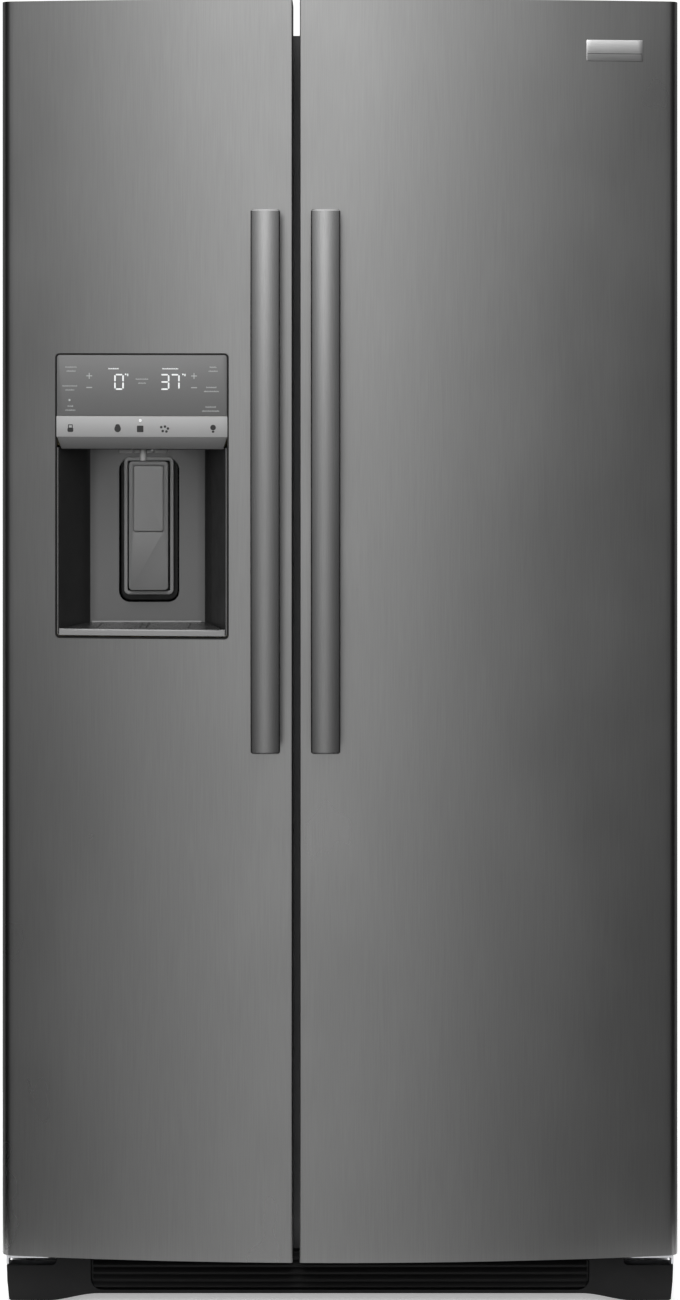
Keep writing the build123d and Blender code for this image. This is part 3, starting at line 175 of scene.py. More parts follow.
def painted(name, color, roughness, peel=180, strength=0.12, spread=0.05, **inputs):
    """Painted sheet: orange peel with softly varied gloss."""
    s = Shader(name, color, roughness, **inputs)
    s.tint(s.noise(5, detail=6), spread)
    s.rough(s.noise(9, detail=5), 0.05)
    s.bump(s.noise(peel, detail=2), strength, 0.0004)
    return s.bump(s.noise(7, detail=2), 0.05, 0.002).material


def clear(name, color, roughness, transmission):
    """Clear moulded plastic or glass, with faint swirls in its surface."""
    s = Shader(name, color, roughness, Transmission_Weight=transmission, IOR=1.46)
    s.tint(s.noise(8, detail=3), 0.03)
    s.rough(s.noise(30), 0.02)
    return s.bump(s.noise(60, detail=2), 0.03, 0.0004).material


def lit(name, color, strength):
    """A printed mark or lamp that glows a little."""
    s = Shader(name, color, 0.5, Emission_Color=(*color, 1), Emission_Strength=strength)
    s.tint(s.noise(400), 0.02)
    return s.material


def foam(name, color):
    s = Shader(name, color, 0.9)
    s.tint(s.noise(25, detail=8), 0.15)
    return s.bump(s.noise(420, detail=6), 0.5, 0.001).material


MAT = {
    "door": brushed("door_metal", (0.36, 0.36, 0.358), 0.30),
    "handle": brushed("handle_metal", (0.285, 0.285, 0.285), 0.21, spread=0.04),
    "cabinet": painted("painted_cabinet", (0.115, 0.115, 0.118), 0.45, 320, 0.35),
    "galvanised": brushed("galvanised", (0.52, 0.53, 0.54), 0.42, (1, 1, 1), 22, 0.16),
    "foam": foam("foam", (0.78, 0.68, 0.42)),
    "liner": moulded("liner_white", (0.80, 0.81, 0.82), 0.28, 240, 0.04, 0.015),
    "frame": painted("frame_grey", (0.13, 0.13, 0.134), 0.4),
    "grille": moulded("grille_black", (0.004, 0.004, 0.0042), 0.55, 600, 0.12,
                      Specular_IOR_Level=0.2),
    "rubber": moulded("rubber_black", (0.02, 0.02, 0.02), 0.7, 500, 0.2),
    "zinc": brushed("zinc_plate", (0.66, 0.67, 0.69), 0.34, (1, 1, 1), 60, 0.10),
    "cover": moulded("cover_plastic", (0.045, 0.045, 0.047), 0.5, 420, 0.25),
    "screw": brushed("screw_steel", (0.60, 0.60, 0.61), 0.28, (1, 1, 1), 300, 0.1),
    "black_paint": painted("compressor_black", (0.012, 0.012, 0.013), 0.25),
    "copper": brushed("coil_copper", (0.70, 0.36, 0.22), 0.35, (0.1, 1, 1), 90, 0.15),
    "aluminium": brushed("coil_aluminium", (0.74, 0.75, 0.76), 0.35, (1, 1, 1), 80, 0.1),
    "board": moulded("machine_cover_board", (0.33, 0.33, 0.32), 0.75, 160, 0.3, 0.1),
    "ivory": moulded("valve_white", (0.68, 0.67, 0.62), 0.45),
    "white": moulded("maker_white", (0.74, 0.75, 0.76), 0.35),
    "wire": moulded("wire_white", (0.80, 0.81, 0.82), 0.3, 300, 0.08),
    "glass": clear("shelf_glass", (0.86, 0.95, 0.91), 0.04, 0.95),
    "trim": moulded("shelf_trim", (0.80, 0.81, 0.82), 0.25, 300, 0.04),
    "bin": clear("clear_bin", (0.90, 0.95, 0.97), 0.08, 0.85),
    "nylon": moulded("roller_nylon", (0.52, 0.52, 0.48), 0.45),
    "cap": moulded("cap_plastic", (0.030, 0.030, 0.031), 0.38, 500, 0.15),
    "gasket": moulded("gasket_grey", (0.030, 0.030, 0.031), 0.6, 260, 0.15),
    "bay": moulded("dispenser_black", (0.20, 0.20, 0.20), 0.34, 800, 0.05),
    # the bay plastic again, much darker: painted shade for the bay's side walls
    "bay_side_painted_shade": moulded("dispenser_side_painted_shade", (0.022, 0.022, 0.022), 0.38, 800, 0.05),
    # near-black painted shade: the shadowed gap round the dispenser and the well behind the paddle;
    # the bay's ceiling uses it too
    "outline": moulded("outline_painted_shade", (0.008, 0.008, 0.008), 0.45),
    "panel": moulded("panel_gloss", (0.27, 0.27, 0.27), 0.38, 900, 0.02, 0.02),
    "strip": moulded("strip_silver", (0.62, 0.62, 0.62), 0.42, 900, 0.03, 0.02),
    "lip": moulded("lip_grey", (0.33, 0.33, 0.33), 0.40, 800, 0.05),
    "paddle": moulded("paddle_grey", (0.25, 0.25, 0.25), 0.42, 700, 0.08),
    "pad": moulded("pad_grey", (0.33, 0.33, 0.33), 0.46, 900, 0.12),
    "rim": moulded("rim_grey", (0.33, 0.33, 0.33), 0.40, 900, 0.06),
    "tray": moulded("tray_grey", (0.035, 0.035, 0.035), 0.25, 800, 0.05),
    "tray_lip": moulded("tray_lip", (0.42, 0.42, 0.42), 0.40, 600, 0.05),
    "nozzle": moulded("nozzle_white", (0.75, 0.75, 0.74), 0.4),
    "mark": lit("mark_white", (0.62, 0.64, 0.64), 0.12),
    "digit": lit("digit_white", (0.90, 0.92, 0.92), 0.55),
    "ink": moulded("ink_dark", (0.05, 0.05, 0.05), 0.5),
    "plate": brushed("plate_metal", (0.72, 0.72, 0.72), 0.32, (0.05, 1, 1), 500, 0.05),
    "bay_lamp": lit("bay_lamp", (1.0, 1.0, 1.0), 9.0),
}


# ---------------------------------------------------------------- mesh kit
def add_mesh(name, build, material, body, angle=30):
    """Make an object from a bmesh-building function and let it ride on a body."""
    bm = bmesh.new()
    build(bm)
    bmesh.ops.remove_doubles(bm, verts=bm.verts, dist=1e-7)
    bmesh.ops.recalc_face_normals(bm, faces=bm.faces)
    mesh = bpy.data.meshes.new(name)
    bm.to_mesh(mesh)
    bm.free()
    obj = bpy.data.objects.new(name, mesh)
    bpy.context.scene.collection.objects.link(obj)
    mesh.materials.append(MAT[material])
    smooth(obj, angle)
    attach(obj, body)
    return obj


def smooth(obj, angle=30):
    obj.data.shade_smooth()
    obj.data.set_sharp_from_angle(angle=radians(angle))


def apply_modifiers(obj, angle=30):
    """Bake the object's modifiers into its mesh."""
    graph = bpy.context.evaluated_depsgraph_get()
    baked = bpy.data.meshes.new_from_object(obj.evaluated_get(graph))
    obj.modifiers.clear()
    obj.data = baked
    smooth(obj, angle)


def bevel(obj, width, segments=3, limit=30):
    """Round an object's sharp edges for real."""
    mod = obj.modifiers.new("round", "BEVEL")
    mod.width = width
    mod.segments = segments
    mod.limit_method = "ANGLE"
    mod.angle_limit = radians(limit)
    mod.harden_normals = False
    apply_modifiers(obj, 40)
    return obj


def cut(obj, cutters, angle=30):
    """Take shapes out of an object and throw the shapes away."""
    for cutter in cutters:
        mod = obj.modifiers.new("cut", "BOOLEAN")
        mod.operation = "DIFFERENCE"
        mod.solver = "EXACT"
        mod.object = cutter
    apply_modifiers(obj, angle)
    for cutter in cutters:
        bpy.data.objects.remove(cutter)
    return obj


def prism(outline, axis, low, high):
    """Builder for a closed outline pushed along an axis: 0 takes (y, z), 1 (x, z), 2 (x, y)."""
    def place(point, level):
        coords = list(point)
        coords.insert(axis, level)
        return coords

    def build(bm):
        near = [bm.verts.new(place(p, low)) for p in outline]
        far = [bm.verts.new(place(p, high)) for p in outline]
        bm.faces.new(near)
        bm.faces.new(list(reversed(far)))
        for i, vert in enumerate(near):
            after = (i + 1) % len(near)
            bm.faces.new((vert, far[i], far[after], near[after]))
    return build


def cuboid(low, high):
    return prism([(low[0], low[1]), (high[0], low[1]), (high[0], high[1]), (low[0], high[1])],
                 2, low[2], high[2])


def cutter(build):
    """A bare object to cut with."""
    bm = bmesh.new()
    build(bm)
    bmesh.ops.recalc_face_normals(bm, faces=bm.faces)
    mesh = bpy.data.meshes.new("cutter")
    bm.to_mesh(mesh)
    bm.free()
    obj = bpy.data.objects.new("cutter", mesh)
    bpy.context.scene.collection.objects.link(obj)
    return obj


def rounded(low, high, radius, steps=6):
    """A rectangle's outline with round corners, counter-clockwise."""
    points = []
    corners = ((high[0], high[1], 0), (low[0], high[1], 90), (low[0], low[1], 180),
               (high[0], low[1], 270))
    for x, y, start in corners:
        cx = x - radius if x == high[0] else x + radius
        cy = y - radius if y == high[1] else y + radius
        for i in range(steps + 1):
            a = radians(start + 90 * i / steps)
            points.append((cx + radius * cos(a), cy + radius * sin(a)))
    return points


def block_piece(name, low, high, round_by, material, body, segments=3):
    """A block with rounded edges."""
    obj = add_mesh(name, cuboid(low, high), material, body)
    return bevel(obj, round_by, segments)


def bowed_sheet(name, outline, proud, thick, material, body, columns=28):
    """A thin plate that follows the doors' bow, from its outline in (x, z)."""
    def build(bm):
        prism(outline, 1, bow_y(0) - 0.02, bow_y(HALF_WIDTH) + 0.05)(bm)
        xs = [p[0] for p in outline]
        for i in range(1, columns):
            x = min(xs) + (max(xs) - min(xs)) * i / columns
            geom = bm.verts[:] + bm.edges[:] + bm.faces[:]
            bmesh.ops.bisect_plane(bm, geom=geom, plane_co=(x, 0, 0), plane_no=(1, 0, 0))
        middle = (bow_y(0) + bow_y(HALF_WIDTH)) / 2
        for v in bm.verts:
            front = v.co.y < middle
            v.co.y = bow_y(v.co.x, proud if front else proud - thick)
    return add_mesh(name, build, material, body, 40)


# ---------------------------------------------------------------- carried over CAD nodes
FINISH = {
    "cabinet": ("cabinet_wrapper",),
    "galvanised": ("cabinet_back_panel", "base_chassis"),
    "foam": ("cabinet_insulation", "freezer_door_foam", "fridge_door_foam"),
    "liner": ("freezer_liner", "fridge_liner", "freezer_door_liner", "fridge_door_liner",
              "evaporator_cover"),
    "frame": ("face_frame",),
    "grille": ("toe_grille",),
    "rubber": ("leveling_feet", "cord_gland", "ice_flap"),
    "zinc": ("top_hinges", "bottom_hinges", "icemaker_arm", "ice_auger"),
    "cover": ("hinge_covers", "fan_shroud", "auger_motor"),
    "screw": ("cabinet_screws",),
    "black_paint": ("compressor",),
    "copper": ("condenser_coil",),
    "aluminium": ("evaporator_coil",),
    "board": ("machine_cover",),
    "ivory": ("water_valve",),
    "white": ("icemaker", "freezer_basket_upper", "freezer_basket_lower"),
    "wire": ("freezer_shelves",),
    "glass": ("shelf_glass",),
    "trim": ("shelf_frames",),
    "bin": ("ice_bin", "crisper_upper", "crisper_lower", "freezer_door_bins", "fridge_door_bins",
            "dairy_lid"),
    "nylon": ("rear_roller_left", "rear_roller_right"),
    "cap": ("freezer_door_caps", "fridge_door_caps", "condenser_fan", "evaporator_fan"),
    "gasket": ("freezer_gasket", "fridge_gasket"),
    "bay": ("dispenser_housing", "ice_chute"),
    "door": ("freezer_door_skin", "fridge_door_skin"),
    "handle": ("freezer_handle", "fridge_handle"),
    "panel": ("control_panel",),
    "paddle": ("dispenser_paddle",),
    "tray": ("drip_tray",),
    "nozzle": ("water_nozzle",),
    "plate": ("nameplate",),
}
for material_name, node_names in FINISH.items():
    for node_name in node_names:
        for material_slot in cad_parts[node_name].material_slots:
            material_slot.material = MAT[material_name]


# ---------------------------------------------------------------- door skins
WINDOW = ((-385 * MM, -149.5 * MM), (912 * MM, 1297 * MM))
WINDOW_ROUND = 6 * MM
FRONT_CUT = (-0.40, -0.25)              # Y span that passes right through a door's front
BOW_STEPS = 72
RETURN = 12 * MM
POCKET_LOW = 1730 * MM
POCKET_Y = -278 * MM
POCKET_WIDE = 34 * MM


def corner_arc(x_edge, inward, radius, inset, steps=10):
    """Round front corner of a door seen from above, from its side to the bow."""
    r = radius - inset
    cx = x_edge + inward * radius
    cy = BOW_C - sqrt((BOW_R - radius) ** 2 - cx * cx)
    bow_angle = atan2(cy - BOW_C, cx)
    side_angle = pi if inward > 0 else 2 * pi
    bow_angle += 2 * pi
    return [(cx + r * cos(side_angle + (bow_angle - side_angle) * i / steps),
             cy + r * sin(side_angle + (bow_angle - side_angle) * i / steps))
            for i in range(steps + 1)]


def plan_outline(x0, x1, r0, r1, inset):
    """Left back corner, round the front, to the right back corner."""
    left = corner_arc(x0, 1, r0, inset)
    right = list(reversed(corner_arc(x1, -1, r1, inset)))
    a0 = atan2(left[-1][1] - BOW_C, left[-1][0])
    a1 = atan2(right[0][1] - BOW_C, right[0][0])
    r = BOW_R - inset
    bow = [(r * cos(a0 + (a1 - a0) * i / BOW_STEPS), BOW_C + r * sin(a0 + (a1 - a0) * i / BOW_STEPS))
           for i in range(1, BOW_STEPS)]
    back = DOOR_BACK - inset
    return [(x0 + inset, back), *left, *bow, *right, (x1 - inset, back)]


def door_skin(name, box, radii, body, node, outer):
    """Folded sheet door front: bowed, with rolled edges and narrow returns behind."""
    x0, x1 = box[0].x, box[1].x
    outside = plan_outline(x0, x1, *radii, 0)
    inside = plan_outline(x0, x1, *radii, SHEET)
    section = [(x0 + RETURN, DOOR_BACK), *outside, (x1 - RETURN, DOOR_BACK),
               (x1 - RETURN, DOOR_BACK - SHEET), *reversed(inside),
               (x0 + RETURN, DOOR_BACK - SHEET)]
    skin = add_mesh(name, prism(section, 2, DOOR_LOW, DOOR_HIGH), "door", body)
    edge = x0 if outer < 0 else x1
    inner = edge - outer * POCKET_WIDE
    tools = [cutter(cuboid((min(edge, inner) - 0.002, POCKET_Y, POCKET_LOW),
                           (max(edge, inner) + 0.002, DOOR_BACK + 0.002, DOOR_HIGH + 0.002)))]
    if outer < 0:
        (wx0, wx1), (wz0, wz1) = WINDOW
        tools.append(cutter(prism(rounded((wx0, wz0), (wx1, wz1), WINDOW_ROUND), 1, *FRONT_CUT)))
    cut(skin, tools)
    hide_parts(node)
    return skin


door_skin("freezer_door_front", SKIN_L, (OUTER_ROUND, GAP_ROUND), "freezer_door",
          "freezer_door_skin", -1)
door_skin("fridge_door_front", SKIN_R, (GAP_ROUND, OUTER_ROUND), "fridge_door",
          "fridge_door_skin", 1)


# ---------------------------------------------------------------- handles
BAR_BULGE = 12 * MM
BAR_DEPTH = 25 * MM
SIDE_ROUND = 2.3 * MM
CROWN = 1.6 * MM
POST_HIGH = 44 * MM
END_CHAMFER = 2.2 * MM


def bar_section(width, depth, crown, corner):
    """Section of a handle bar about x = 0: crowned front at y = 0, flat back."""
    half = width / 2
    radius = (half ** 2 + crown ** 2) / (2 * crown)
    reach = half - corner * 0.6
    front = []
    for i in range(-12, 13):
        x = reach * i / 12
        front.append((x, radius - sqrt(radius ** 2 - x * x)))
    drop = front[-1][1]
    right = []
    left = []
    for i in range(1, 7):
        a = radians(90 * i / 6)
        right.append((reach + (half - reach) * sin(a), drop + corner * (1 - cos(a))))
        left.append((-reach - (half - reach) * sin(a), drop + corner * (1 - cos(a))))
    back = [(half, depth - 3 * MM), (half - 3 * MM, depth), (-half + 3 * MM, depth),
            (-half, depth - 3 * MM)]
    return [*reversed(left), *front, *right, *back]


def handle(name, box, body, node):
    """A bowed bar on two posts."""
    low, high = box[0].z, box[1].z
    x_mid = (box[0].x + box[1].x) / 2
    front = box[0].y
    middle, half = (low + high) / 2, (high - low) / 2
    section = bar_section(box[1].x - box[0].x, BAR_DEPTH, CROWN, SIDE_ROUND)
    levels = [(low, END_CHAMFER), (low + END_CHAMFER, 0)]
    levels += [(low + END_CHAMFER + (high - low - 2 * END_CHAMFER) * i / 40, 0)
               for i in range(1, 40)]
    levels += [(high - END_CHAMFER, 0), (high, END_CHAMFER)]

    def build(bm):
        rings = []
        for z, shrink in levels:
            bulge = BAR_BULGE * ((z - middle) / half) ** 2
            ring = []
            for x, y in section:
                scale = 1 - shrink / (20 * MM)
                ring.append(bm.verts.new((x_mid + x * scale,
                                          front + bulge + y + shrink * (1 if y < 0.01 else -1), z)))
            rings.append(ring)
        for lower, upper in zip(rings, rings[1:]):
            for i, vert in enumerate(lower):
                after = (i + 1) % len(lower)
                bm.faces.new((vert, lower[after], upper[after], upper[i]))
        bm.faces.new(rings[0])
        bm.faces.new(list(reversed(rings[-1])))
    bar = add_mesh(name + "_bar", build, "handle", body, 35)
    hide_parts(node)
    inset = 3 * MM
    for word, z0 in (("lower", low + 3 * MM), ("upper", high - 3 * MM - POST_HIGH)):
        post_front = front + BAR_BULGE + BAR_DEPTH - 6 * MM
        build_post = prism(rounded((box[0].x + inset, z0), (box[1].x - inset, z0 + POST_HIGH),
                                   6 * MM), 1, post_front, bow_y(x_mid) + 0.5 * MM)
        add_mesh(f"{name}_post_{word}", build_post, "handle", body, 35)
    return bar


handle("freezer_handle", HANDLE_L, "freezer_door", "freezer_handle")
handle("fridge_handle", HANDLE_R, "fridge_door", "fridge_handle")


# ---------------------------------------------------------------- dispenser
PX0, PX1 = WINDOW[0]
PZ0, PZ1 = WINDOW[1]
STRIP_Z = (1184 * MM, 1212 * MM)
LIP_Z = (1167.5 * MM, 1184 * MM)
BAY_BACK = -212 * MM
BAY_HALF_FRONT = 113.5 * MM
BAY_HALF_BACK = 83.6 * MM
BAY_SKEW = 1.1 * MM                      # how far the back wall sits to the right
BAY_MID = (PX0 + PX1) / 2
BAY_ROUND = 16 * MM
SHADED_SIDE_FACING = 0.82                      # faces turned further from the front are side walls, coloured darker as painted shade
CEILING_INSET = 12 * MM                 # from the bow to the ceiling's front edge
CHUTE_MOUTH = ((-304 * MM, -273 * MM), (-230 * MM, -237 * MM))
WALL = 2.2 * MM
BAY_FLOOR = TRAY[0].z - 0.6 * MM
WELL_X = (-303.8 * MM, -224.8 * MM)
WELL_Z = (953.5 * MM, 1150 * MM)
WELL_BACK = -200 * MM
WELL_ROUND = 14 * MM


def ring_sheet(name, outer, inner, proud, thick, material):
    """A bowed frame between two outlines in (x, z)."""
    obj = bowed_sheet(name, outer, proud, thick, material, "freezer_door")
    return cut(obj, [cutter(prism(inner, 1, *FRONT_CUT))], 40)


def dispenser_painted_shadow():
    """Near-black frame round the whole dispenser, with a fine light edge inside it: painted shadow of
    the gap between the door skin and the dispenser.
    """
    gap = 0.3 * MM
    outer = rounded((PX0 + gap, PZ0 + gap), (PX1 - gap, PZ1 - gap), WINDOW_ROUND)
    inner = rounded((PX0 + 2.2 * MM, PZ0 + 2.2 * MM), (PX1 - 2.2 * MM, PZ1 - 2.2 * MM), 4.5 * MM)
    ring_sheet("dispenser_painted_shadow", outer, inner, 0.35 * MM, 5 * MM, "outline")


def bay_plan(back, half_front, half_back, corner, steps=7):
    """The bay seen from above, from its left front edge round to its right front edge."""
    left = Vector((-half_front, bow_y(BAY_MID - half_front, -1 * MM)))
    right = Vector((half_front, bow_y(BAY_MID + half_front, -1 * MM)))
    corners = [Vector((BAY_SKEW - half_back, back)), Vector((BAY_SKEW + half_back, back))]
    points = [left]
    for before, at, after in ((left, corners[0], corners[1]), (corners[0], corners[1], right)):
        a, b = (before - at).normalized(), (after - at).normalized()
        reach = corner
        start, end = at + a * reach, at + b * reach
        for i in range(steps + 1):
            t = i / steps
            points.append(start * (1 - t) ** 2 + at * 2 * t * (1 - t) + end * t * t)
    points.append(right)
    return [(BAY_MID + p.x, p.y) for p in points]


def bay():
    """The dispenser's bay: soft cornered walls, ceiling, floor and the well behind the paddle."""
    inside = bay_plan(BAY_BACK, BAY_HALF_FRONT, BAY_HALF_BACK, BAY_ROUND)
    outside = bay_plan(BAY_BACK + WALL, BAY_HALF_FRONT + 1.4 * MM, BAY_HALF_BACK + WALL, BAY_ROUND)
    walls = add_mesh("dispenser_bay_wall", prism([*inside, *reversed(outside)], 2, BAY_FLOOR,
                                                 LIP_Z[0] + 2 * MM),
                     "bay", "freezer_door", 35)
    well = rounded((WELL_X[0], WELL_Z[0]), (WELL_X[1], WELL_Z[1]), WELL_ROUND)
    cut(walls, [cutter(prism(well, 1, BAY_BACK - 4 * MM, BAY_BACK + 8 * MM))], 35)
    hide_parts("dispenser_housing")
    # side walls get the darker copy of the bay plastic: painted shade on the same moulding, not a
    # different part
    walls.data.materials.append(MAT["bay_side_painted_shade"])
    for face in walls.data.polygons:
        if abs(face.normal.y) < SHADED_SIDE_FACING:
            face.material_index = 1
    well_out = rounded((WELL_X[0] - WALL, WELL_Z[0] - WALL), (WELL_X[1] + WALL, WELL_Z[1]),
                       WELL_ROUND + 1 * MM)
    well_in = rounded((WELL_X[0], WELL_Z[0]), (WELL_X[1], WELL_Z[1] - 1 * MM), WELL_ROUND)
    # the paddle well's walls take the near-black material: painted shade of the recess
    box = add_mesh("paddle_well", prism(well_out, 1, BAY_BACK, WELL_BACK + WALL), "outline",
                   "freezer_door", 35)
    cut(box, [cutter(prism(well_in, 1, BAY_BACK - 2 * MM, WELL_BACK))], 35)
    for word, z, material in (("ceiling", (LIP_Z[0] - 1 * MM, LIP_Z[0] + 2 * MM), "outline"),
                              ("floor", (BAY_FLOOR - 1.5 * MM, BAY_FLOOR), "bay")):
        plate = bay_plan(BAY_BACK, BAY_HALF_FRONT, BAY_HALF_BACK, BAY_ROUND)
        if word == "ceiling":
            for end in (0, -1):
                plate[end] = (plate[end][0], plate[end][1] + CEILING_INSET)
        obj = add_mesh(f"dispenser_bay_{word}", prism(plate, 2, *z), material, "freezer_door")
        if word == "ceiling":
            (x0, y0), (x1, y1) = CHUTE_MOUTH
            cut(obj, [cutter(cuboid((x0, y0, z[0] - 0.01), (x1, y1, z[1] + 0.01)))])


def lip():
    """Slanted lip under the light strip, narrower at its lower edge."""
    z0, z1 = LIP_Z
    depth = 9 * MM
    narrow = 5.5 * MM

    def build(bm):
        columns = 24
        rows = []
        for i in range(columns + 1):
            t = i / columns
            top_x = PX0 + 2.4 * MM + (PX1 - PX0 - 4.8 * MM) * t
            low_x = top_x + narrow * (1 - 2 * t)
            rows.append([bm.verts.new(c) for c in (
                (top_x, bow_y(top_x, 0.2 * MM), z1), (low_x, bow_y(low_x) + depth, z0),
                (low_x, bow_y(low_x) + depth + 3 * MM, z0), (top_x, bow_y(top_x) + 8 * MM, z1))])
        for a, b in zip(rows, rows[1:]):
            for k in range(4):
                after = (k + 1) % 4
                bm.faces.new((a[k], b[k], b[after], a[after]))
        bm.faces.new(rows[0])
        bm.faces.new(list(reversed(rows[-1])))
    obj = add_mesh("dispenser_lip", build, "lip", "freezer_door", 25)
    return bevel(obj, 0.6 * MM, 2)


def panel():
    """Gloss display above a pale strip, both bowed with the door."""
    inset = 2.6 * MM
    x0, x1 = PX0 + inset, PX1 - inset
    top = PZ1 - inset
    corner = 4 * MM
    outline = [(x0, STRIP_Z[1] + 0.3 * MM), (x1, STRIP_Z[1] + 0.3 * MM)]
    for cx, start in ((x1 - corner, 0), (x0 + corner, 90)):
        outline += [(cx + corner * cos(radians(start + 15 * i)),
                     top - corner + corner * sin(radians(start + 15 * i))) for i in range(7)]
    face = bowed_sheet("display_panel", outline, 0.35 * MM, 2.6 * MM, "panel", "freezer_door")
    bevel(face, 0.5 * MM, 2, 50)
    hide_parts("control_panel")
    strip_outline = [(x0 - 1 * MM, STRIP_Z[0]), (x1 + 1 * MM, STRIP_Z[0]),
                     (x1 + 1 * MM, STRIP_Z[1]), (x0 - 1 * MM, STRIP_Z[1])]
    strip = bowed_sheet("display_strip", strip_outline, 0.38 * MM, 2.6 * MM, "strip",
                        "freezer_door")
    bevel(strip, 0.4 * MM, 2, 50)


dispenser_painted_shadow()
bay()
lip()
panel()


# ---------------------------------------------------------------- marks on the display
MARK_PROUD = 0.44 * MM
MARK_THICK = 0.12 * MM


def mark(name, outline, material):
    """A small printed shape lying on the bowed display."""
    return bowed_sheet(name, outline, MARK_PROUD, MARK_THICK, material, "freezer_door",
                       2)


def bar_mark(name, x, z, size, material="mark"):
    w, h = size[0] / 2, size[1] / 2
    return mark(name, rounded((x - w, z - h), (x + w, z + h), min(w, h) * 0.6, 3), material)


SEGMENTS = {"a": (0, 2, 1), "b": (1, 1, 0), "c": (1, 0, 0), "d": (0, 0, 1), "e": (-1, 0, 0),
            "f": (-1, 1, 0), "g": (0, 1, 1)}
LIT_SEGMENTS = {"0": "abcdef", "3": "abcdg", "7": "abc"}


def seven_segment(name, digit, x, z, size):
    """One figure of the temperature display, from lit bars."""
    w, h = size
    thick = 1.9 * MM
    for key in LIT_SEGMENTS[digit]:
        side, row, flat = SEGMENTS[key]
        if flat:
            centre = (x, z + (row - 1) * h / 2)
            bar_mark(f"{name}_{key}", *centre, (w - thick * 1.3, thick), "digit")
        else:
            centre = (x + side * w / 2, z + (row - 0.5) * h / 2)
            bar_mark(f"{name}_{key}", *centre, (thick, h / 2 - thick * 0.9), "digit")


def text_rows(name, x, z, widths, material="mark"):
    """Stand-in for a small caption of one or more lines: rows of fine ticks of its length."""
    tick, pitch, high = 1.05 * MM, 1.55 * MM, 1.7 * MM

    def build(bm):
        for row, width in enumerate(widths):
            middle = z - row * 5.4 * MM
            count = max(2, round(width * MM / pitch))
            for i in range(count):
                left = x + (i - (count - 1) / 2) * pitch - tick / 2
                tall = high * (1.0, 0.72, 0.86, 0.72)[(i * 3 + row) % 4]
                low = middle - high / 2
                y = bow_y(left, MARK_PROUD)
                prism([(left, low), (left + tick, low), (left + tick, low + tall),
                       (left, low + tall)], 1, y, y + MARK_THICK)(bm)
    return add_mesh(name, build, material, "freezer_door")


def px(column):
    """X across the display from the share of its width."""
    return PX0 + (PX1 - PX0) * column


def pz(row):
    """Z down the display from the share of its height above the strip."""
    return PZ1 - (PZ1 - STRIP_Z[1]) * row


def display_marks():
    captions = (("boost", 0.093, 0.22, (15, 12)), ("drink", 0.086, 0.52, (20, 13)),
                ("maker", 0.089, 0.84, (7, 14)), ("chill", 0.910, 0.22, (10, 13)),
                ("air", 0.900, 0.54, (14, 20)), ("filter", 0.896, 0.85, (14, 24)))
    for name, column, row, widths in captions:
        text_rows(f"caption_{name}", px(column), pz(row), widths)
    bar_mark("caption_dot", px(0.084), pz(0.745), (2.6 * MM, 2.6 * MM))
    for name, column in (("left", 0.198), ("right", 0.801)):
        x = px(column)
        bar_mark(f"plus_{name}_flat", x, pz(0.36), (8 * MM, 1.2 * MM))
        bar_mark(f"plus_{name}_tall", x, pz(0.36), (1.2 * MM, 8 * MM))
        bar_mark(f"minus_{name}", x, pz(0.545), (8 * MM, 1.2 * MM))
    figure = (11 * MM, 19.5 * MM)
    seven_segment("figure_left", "0", px(0.370), pz(0.455), figure)
    seven_segment("figure_right_tens", "3", px(0.632), pz(0.455), figure)
    seven_segment("figure_right_units", "7", px(0.691), pz(0.455), figure)
    for name, column, width in (("left", 0.338, 14), ("right", 0.665, 21)):
        text_rows(f"heading_{name}", px(column), pz(0.245), (width,), "digit")
    for name, column in (("left", 0.415), ("right", 0.744)):
        bar_mark(f"degree_{name}", px(column) - 1.6 * MM, pz(0.335), (2 * MM, 2 * MM), "digit")
        bar_mark(f"unit_{name}", px(column) + 1.2 * MM, pz(0.345), (1.4 * MM, 3.4 * MM), "digit")
    text_rows("caption_middle", px(0.502), pz(0.41), (17, 11))


def strip_icons():
    """Padlock, drop, cube, crushed ice and lamp signs on the pale strip."""
    mid = (STRIP_Z[0] + STRIP_Z[1]) / 2 - 3 * MM
    x = px(0.089)
    bar_mark("lock_body", x, mid - 1.5 * MM, (8 * MM, 6 * MM), "ink")
    for word, dx in (("left", -2.6), ("right", 2.6)):
        bar_mark(f"lock_{word}", x + dx * MM, mid + 3.2 * MM, (1.2 * MM, 4.4 * MM), "ink")
    bar_mark("lock_top", x, mid + 5.2 * MM, (6.2 * MM, 1.2 * MM), "ink")
    bar_mark("mode_lamp", px(0.492), STRIP_Z[1] - 5.5 * MM, (3.2 * MM, 3.2 * MM), "digit")
    x = px(0.362)
    drop = [(x + 4.4 * MM * sin(a) * (1 if a > pi else 1), mid + 4.6 * MM * -cos(a))
            for a in [2 * pi * i / 20 for i in range(20)]]
    drop = [(dx, z + (1.8 * MM if z > mid + 3.6 * MM else 0)) for dx, z in drop]
    mark("drop_sign", drop, "ink")
    x = px(0.492)
    outer = rounded((x - 4.4 * MM, mid - 4.4 * MM), (x + 4.4 * MM, mid + 4.4 * MM), 1 * MM, 3)
    mark("cube_sign", outer, "ink")
    for i, (dx, dz) in enumerate(((-4, 2.4), (1, 3.2), (5, 0.6), (-2, -2.8), (3, -3.4))):
        bar_mark(f"crushed_sign_{i}", px(0.630) + dx * MM, mid + dz * MM, (3.2 * MM, 3.2 * MM), "ink")
    x = px(0.910)
    bulb = [(x + 3.8 * MM * cos(a), mid + 2 * MM + 3.8 * MM * sin(a))
            for a in [2 * pi * i / 16 for i in range(16)]]
    mark("lamp_sign_bulb", bulb, "ink")
    bar_mark("lamp_sign_foot", x, mid - 3.6 * MM, (3.4 * MM, 2.6 * MM), "ink")


display_marks()
strip_icons()


